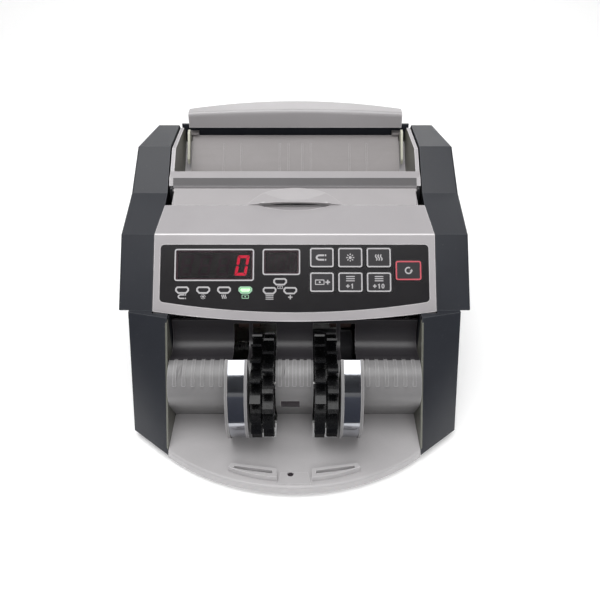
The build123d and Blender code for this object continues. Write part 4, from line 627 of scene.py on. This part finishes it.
# the frames round the two display windows
ink = Ink(FACE)
WIN = sorted((on_panel(i) for i in islands("display_windows")), key=lambda b: b[0])
for x0, x1, w0, w1, _ in WIN:
    # the slab leans, so its outline at the top face is read from the box less its thickness
    ink.ring(rounded(x0 - 0.0009, x1 + 0.0009, w0 - 0.0009, w1 + 0.0009, 0.0019), rounded(x0 + 0.0001, x1 - 0.0001, w0 + 0.0001, w1 - 0.0001, 0.0010))
ink.piece("window_outlines", "m_ink", "chassis")

# frames and small symbols of the indicators
LENS = [on_panel(i) for i in islands("indicator_lenses")]
LIT = on_panel(verts("indicator_lens_lit"))


def lens_outline(b, ink_piece):
    x0, x1, w0, w1, _ = b
    cx, cw, a, h = (x0 + x1) / 2, (w0 + w1) / 2, (x1 - x0) / 2, (w1 - w0) / 2
    c1, c2 = 0.0011, 0.0005
    base = [(cx - a + c1, cw - h), (cx + a - c1, cw - h), (cx + a, cw - h + c1), (cx + a, cw + h - c2), (cx + a - c2, cw + h), (cx - a + c2, cw + h),
            (cx - a, cw + h - c2), (cx - a, cw - h + c1)]
    ink_piece.ring(grow(base, cx, cw, 0.00145), grow(base, cx, cw, 0.00035))
    return cx, cw - h


def symbol(ink_piece, kind, cx, cw, s, line):
    """Generic pictograms, s is the half height."""
    if kind == "magnet":            # horseshoe lying on its side
        arc = [(cx - s * 0.2 + s * 1.0 * math.cos(a), cw + s * 0.75 * math.sin(a)) for a in [math.radians(v) for v in range(90, 271, 20)]]
        pts = [(cx + s * 1.3, arc[0][1])] + arc + [(cx + s * 1.3, arc[-1][1])]
        ink_piece.stroke(pts, line * 1.3)
        for sg in (-1, 1):
            ink_piece.stroke([(cx + s * 1.55, cw + sg * s * 0.75), (cx + s * 2.0, cw + sg * s * 0.75)], line * 1.3)
    elif kind == "sun":
        ring = [(cx + s * 0.42 * math.cos(a), cw + s * 0.42 * math.sin(a)) for a in [math.radians(v) for v in range(0, 360, 30)]]
        ink_piece.solid(ring)
        for k in range(8):
            a = math.radians(45 * k)
            ink_piece.stroke([(cx + s * 0.68 * math.cos(a), cw + s * 0.68 * math.sin(a)), (cx + s * 1.12 * math.cos(a), cw + s * 1.12 * math.sin(a))], line * 0.75)
    elif kind == "waves":
        for k in (-1, 0, 1):
            pts = [(cx + k * s * 0.7 + s * 0.22 * math.sin(math.radians(v * 2)), cw + s * (v / 180 - 0.5) * 1.7) for v in range(0, 181, 15)]
            ink_piece.stroke(pts, line * 0.85)
    elif kind == "plus":
        ink_piece.stroke([(cx - s, cw), (cx + s, cw)], line)
        ink_piece.stroke([(cx, cw + line * 0.5), (cx, cw + s)], line)
        ink_piece.stroke([(cx, cw - line * 0.5), (cx, cw - s)], line)
    elif kind == "bundle":          # a stack of notes: three bars
        for k in (-1, 0, 1):
            ink_piece.stroke([(cx - s * 1.5, cw + k * s * 0.75), (cx + s * 1.5, cw + k * s * 0.75)], line * 0.8)
    elif kind == "note":            # one note: frame and a dot
        ink_piece.ring(rounded(cx - s * 1.5, cx + s * 1.5, cw - s * 0.85, cw + s * 0.85, s * 0.25, 3),
                       rounded(cx - s * 1.5 + line * 0.7, cx + s * 1.5 - line * 0.7, cw - s * 0.85 + line * 0.7, cw + s * 0.85 - line * 0.7, s * 0.12, 3))
        ink_piece.solid([(cx + s * 0.32 * math.cos(math.radians(v)), cw + s * 0.32 * math.sin(math.radians(v))) for v in range(0, 360, 40)])
    elif kind == "loop":            # circular arrow
        pts = [(cx + s * 0.85 * math.cos(math.radians(v)), cw + s * 0.85 * math.sin(math.radians(v))) for v in range(60, 351, 15)]
        ink_piece.stroke(pts, line)
        tip = Vector(pts[-1])
        ink_piece.solid([(tip.x - s * 0.48, tip.y + s * 0.02), (tip.x + s * 0.42, tip.y - s * 0.02), (tip.x + s * 0.10, tip.y + s * 0.62)])
    elif kind == "1":
        ink_piece.solid([(cx - line * 0.5, cw - s), (cx + line * 0.5, cw - s), (cx + line * 0.5, cw + s), (cx - line * 0.2, cw + s),
                         (cx - s * 0.55, cw + s * 0.55), (cx - s * 0.40, cw + s * 0.25), (cx - line * 0.5, cw + s * 0.5)])
    elif kind == "0":
        o1 = [(cx + s * 0.62 * math.cos(math.radians(v)), cw + s * math.sin(math.radians(v))) for v in range(0, 360, 20)]
        i1 = [(cx + (s * 0.62 - line) * math.cos(math.radians(v)), cw + (s - line) * math.sin(math.radians(v))) for v in range(0, 360, 20)]
        ink_piece.ring(o1, i1)


ink = Ink(FACE)
row = sorted(LENS, key=lambda b: b[0])
group_a = [b for b in row if b[1] < LIT[0]]
group_b = [b for b in row if b[0] > LIT[1]]
for b, kind in zip(group_a, ("magnet", "sun", "waves")):
    cx, low = lens_outline(b, ink)
    symbol(ink, kind, cx - (0.0006 if kind == "magnet" else 0), low - 0.0036, 0.00175, 0.0007)
top = max(group_b, key=lambda b: b[2])
for b in group_b:
    cx, low = lens_outline(b, ink)
    if b is top:
        symbol(ink, "note", cx, low - 0.0029, 0.0013, 0.00055)
    elif b[0] < top[0]:
        symbol(ink, "bundle", cx, low - 0.0036, 0.0019, 0.0008)
    else:
        symbol(ink, "plus", cx, low - 0.0036, 0.0016, 0.0008)
ink.piece("indicator_marks", "m_ink", "chassis")
ink = Ink(FACE)
cx, low = lens_outline(LIT, ink)
symbol(ink, "note", cx, low - 0.0036, 0.0017, 0.0006)
ink.piece("indicator_marks_lit", "m_ink_green", "chassis")

# key outlines and legends, each riding on its key
LEGEND = {"key_magnetic": ["magnet"], "key_ultraviolet": ["sun"], "key_infrared": ["waves"], "key_add": ["addnote"], "key_batch_plus_one": ["batch", "1"],
          "key_batch_plus_ten": ["batch", "10"], "key_reset": ["loop"]}
for n in KEYS:
    co = verts(n)
    s = co @ PNa
    cap = co[s > s.max() - 0.0030]
    w = cap @ PTa
    x0, x1, w0, w1 = cap[:, 0].min(), cap[:, 0].max(), float(w.min()), float(w.max())
    level = float(s.max())
    body = n + "_cap"
    i = 0.00055
    ink = Ink(level)
    ink.ring(rounded(x0 + i, x1 - i, w0 + i, w1 - i, 0.0016), rounded(x0 + i + 0.0010, x1 - i - 0.0010, w0 + i + 0.0010, w1 - i - 0.0010, 0.0008))
    ink.piece(n + "_outline", "m_ink_red" if n == "key_reset" else "m_ink", body)
    ink = Ink(level)
    cx, cw = (x0 + x1) / 2, (w0 + w1) / 2
    kind = LEGEND[n]
    if kind[0] == "batch":
        symbol(ink, "bundle", cx, cw + 0.0026, 0.0021, 0.0009)
        if kind[1] == "1":
            symbol(ink, "plus", cx - 0.0019, cw - 0.0029, 0.0013, 0.0008)
            symbol(ink, "1", cx + 0.0014, cw - 0.0029, 0.0018, 0.0008)
        else:
            symbol(ink, "plus", cx - 0.0032, cw - 0.0029, 0.0013, 0.0008)
            symbol(ink, "1", cx + 0.0001, cw - 0.0029, 0.0018, 0.0008)
            symbol(ink, "0", cx + 0.0028, cw - 0.0029, 0.0018, 0.0007)
    elif kind[0] == "addnote":
        symbol(ink, "note", cx - 0.0016, cw, 0.0023, 0.0009)
        symbol(ink, "plus", cx + 0.0042, cw, 0.0017, 0.0010)
    elif kind[0] == "magnet":
        symbol(ink, "magnet", cx - 0.0012, cw, 0.0022, 0.0010)
    else:
        symbol(ink, kind[0], cx, cw, 0.0026, 0.0010)
    ink.piece(n + "_legend", "m_ink", body)

# the faces of the digit modules with their unlit segments, behind the tinted windows
DIG = on_panel(verts("lit_digit"))
dig_low = float((verts("lit_digit") @ PNa).min())
dig_high = float((verts("lit_digit") @ PNa).max())
pitch = (DIG[1] - DIG[0]) * 1.22


def digit_segments(ink_piece, cx, cw, hx, hy, seg, skip=False):
    sl = math.tan(math.radians(10))

    def q(u, v):
        return (cx + u + v * sl, cw + v)

    g = 0.00035
    for sy in (1, -1):
        ink_piece.solid([q(-hx + g, sy * hy), q(hx - g, sy * hy), q(hx - g - seg, sy * (hy - seg)), q(-hx + g + seg, sy * (hy - seg))])
    for sx in (-1, 1):
        for sy in (-1, 1):
            ink_piece.solid([q(sx * hx, sy * (hy - g)), q(sx * hx, sy * (g + 0.0006)), q(sx * (hx - seg / 2), sy * g), q(sx * (hx - seg), sy * (g + 0.0008)),
                             q(sx * (hx - seg), sy * (hy - g - seg))])
    ink_piece.solid([q(-hx + seg * 0.7, seg / 2 * 0.8), q(hx - seg * 0.7, seg / 2 * 0.8), q(hx - seg * 0.35, 0), q(hx - seg * 0.7, -seg / 2 * 0.8),
                     q(-hx + seg * 0.7, -seg / 2 * 0.8), q(-hx + seg * 0.35, 0)])


height = DIG[3] - DIG[2]
slant = height / 2 * math.tan(math.radians(10))
hx, hy = (DIG[1] - DIG[0]) / 2 - slant, height / 2
face = Ink(dig_low, height=0.00012, sink=0.0)
cxs = [(DIG[0] + DIG[1]) / 2 - k * pitch for k in (1, 2, 3)]
for cx in cxs:
    if cx - hx - slant > WIN[0][0] + 0.001:
        digit_segments(face, cx, (DIG[2] + DIG[3]) / 2, hx, hy, 0.0020)
x0, x1, w0, w1, _ = WIN[1]
for k in (-1, 0, 1):
    digit_segments(face, (x0 + x1) / 2 + k * (x1 - x0) * 0.29, (w0 + w1) / 2, (x1 - x0) * 0.105, (w1 - w0) * 0.32, 0.0011)
face.piece("unlit_segments", "m_unlit", "chassis")


# ------------------------------------------------------------------ stage: floor, light, camera
lo, hi = CAD_BOX
centre = Vector([(lo[i] + hi[i]) / 2 for i in range(3)])
bm = bmesh.new()
R = 3.2
# a sheet that curves up behind the object
prof = [(-R, 0.0), (0.9, 0.0)] + [(0.9 + 0.5 * math.sin(math.radians(a)), 0.5 - 0.5 * math.cos(math.radians(a))) for a in range(15, 91, 15)] + [(1.4, 2.6)]
rows = [[bm.verts.new((x, y, z + lo[2] - 0.0002)) for y, z in prof] for x in (-R, R)]
for i in range(len(prof) - 1):
    bm.faces.new((rows[0][i], rows[1][i], rows[1][i + 1], rows[0][i + 1]))
me = bpy.data.meshes.new("floor")
bm.to_mesh(me)
bm.free()
floor = bpy.data.objects.new("floor", me)
bpy.context.scene.collection.objects.link(floor)
t = Tree("m_floor")
n = t.noise(3.0, 3)
t.done(t.principled(Base_Color=t.mix(t.ramp(n, 0.3, 0.7), (0.93, 0.93, 0.93), (0.95, 0.95, 0.95)), Roughness=t.ramp(n, 0.3, 0.7, 0.86, 0.92), Specular_IOR_Level=0.15,
                    Emission_Color=(1.0, 1.0, 1.0), Emission_Strength=0.16))
me.materials.append(MATS["m_floor"])
for p in me.polygons:
    p.use_smooth = True


def area(name, loc, target, size, energy, color=(1, 1, 1), size_y=None):
    l = bpy.data.lights.new(name, "AREA")
    l.shape = "RECTANGLE"
    l.size = size
    l.size_y = size_y or size
    l.energy = energy
    l.color = color
    o = bpy.data.objects.new(name, l)
    o.location = loc
    o.rotation_euler = (Vector(target) - Vector(loc)).to_track_quat("-Z", "Y").to_euler()
    bpy.context.scene.collection.objects.link(o)
    return o


key = area("key_light", (-0.14, -0.20, 1.25), (0, -0.02, 0.06), 1.3, 11.8, size_y=0.9)
back = area("back_light", (0.25, 1.1, 0.85), (0, 0.05, 0.1), 1.1, 2.4, size_y=0.5)
fill = area("front_fill", (0.05, -1.35, 0.85), (0, -0.05, 0.04), 1.0, 8.5, size_y=0.6)
fill.visible_glossy = False

# studio surround: pale above, falling off towards the dark room at the sides
world = bpy.data.worlds.new("world")
world.use_nodes = True
wt = world.node_tree
bg = wt.nodes["Background"]
wtc = wt.nodes.new("ShaderNodeTexCoord")
sep = wt.nodes.new("ShaderNodeSeparateXYZ")
wt.links.new(wtc.outputs["Generated"], sep.inputs[0])
wr = wt.nodes.new("ShaderNodeMapRange")
wr.interpolation_type = "SMOOTHSTEP"
wr.inputs["From Min"].default_value = 0.05
wr.inputs["From Max"].default_value = 0.75
wr.inputs["To Min"].default_value = 0.18
wr.inputs["To Max"].default_value = 0.42
wt.links.new(sep.outputs["Z"], wr.inputs["Value"])
wt.links.new(wr.outputs["Result"], bg.inputs["Strength"])
bg.inputs["Color"].default_value = (1, 1, 1, 1)
bpy.context.scene.world = world


def card(name, corners, colour):
    """A card that only reflections see, as a photographer sets beside polished metal."""
    bm = bmesh.new()
    bm.faces.new([bm.verts.new(c) for c in corners])
    me = bpy.data.meshes.new(name)
    bm.to_mesh(me)
    bm.free()
    t = Tree("m_" + name)
    n = t.noise(4.0, 2)
    t.done(t.principled(Base_Color=t.mix(t.ramp(n, 0.3, 0.7), tuple(v * 0.8 for v in colour), colour), Roughness=t.ramp(n, 0.3, 0.7, 0.8, 0.9)))
    me.materials.append(MATS["m_" + name])
    o = bpy.data.objects.new(name, me)
    bpy.context.scene.collection.objects.link(o)
    o.visible_camera = False
    o.visible_diffuse = False
    o.visible_shadow = False
    o.visible_transmission = False
    return o


card("dark_card_front", [(-0.7, -0.155, lo[2] + 0.001), (0.7, -0.155, lo[2] + 0.001), (0.7, -1.4, lo[2] + 0.42), (-0.7, -1.4, lo[2] + 0.42)], (0.05, 0.055, 0.075))
card("dark_card_high", [(-0.8, -1.35, lo[2] + 0.62), (0.8, -1.35, lo[2] + 0.62), (0.8, -0.66, lo[2] + 1.20), (-0.8, -0.66, lo[2] + 1.20)], (0.05, 0.052, 0.058))

scene = bpy.context.scene
scene.view_settings.view_transform = "Standard"
scene.view_settings.look = "None"
scene.view_settings.exposure = 0.0
scene.view_settings.gamma = 1.0

cam = bpy.data.cameras.new("camera")
cam.sensor_width = 36.0
cam.lens = 690.0 / 600.0 * 36.0
cam.clip_start = 0.01
camera = bpy.data.objects.new("camera", cam)
camera.location = (0.004, lo[1] - 0.312, lo[2] + 0.3848)
camera.rotation_euler = (math.radians(55.0), 0, 0)
scene.collection.objects.link(camera)
scene.camera = camera
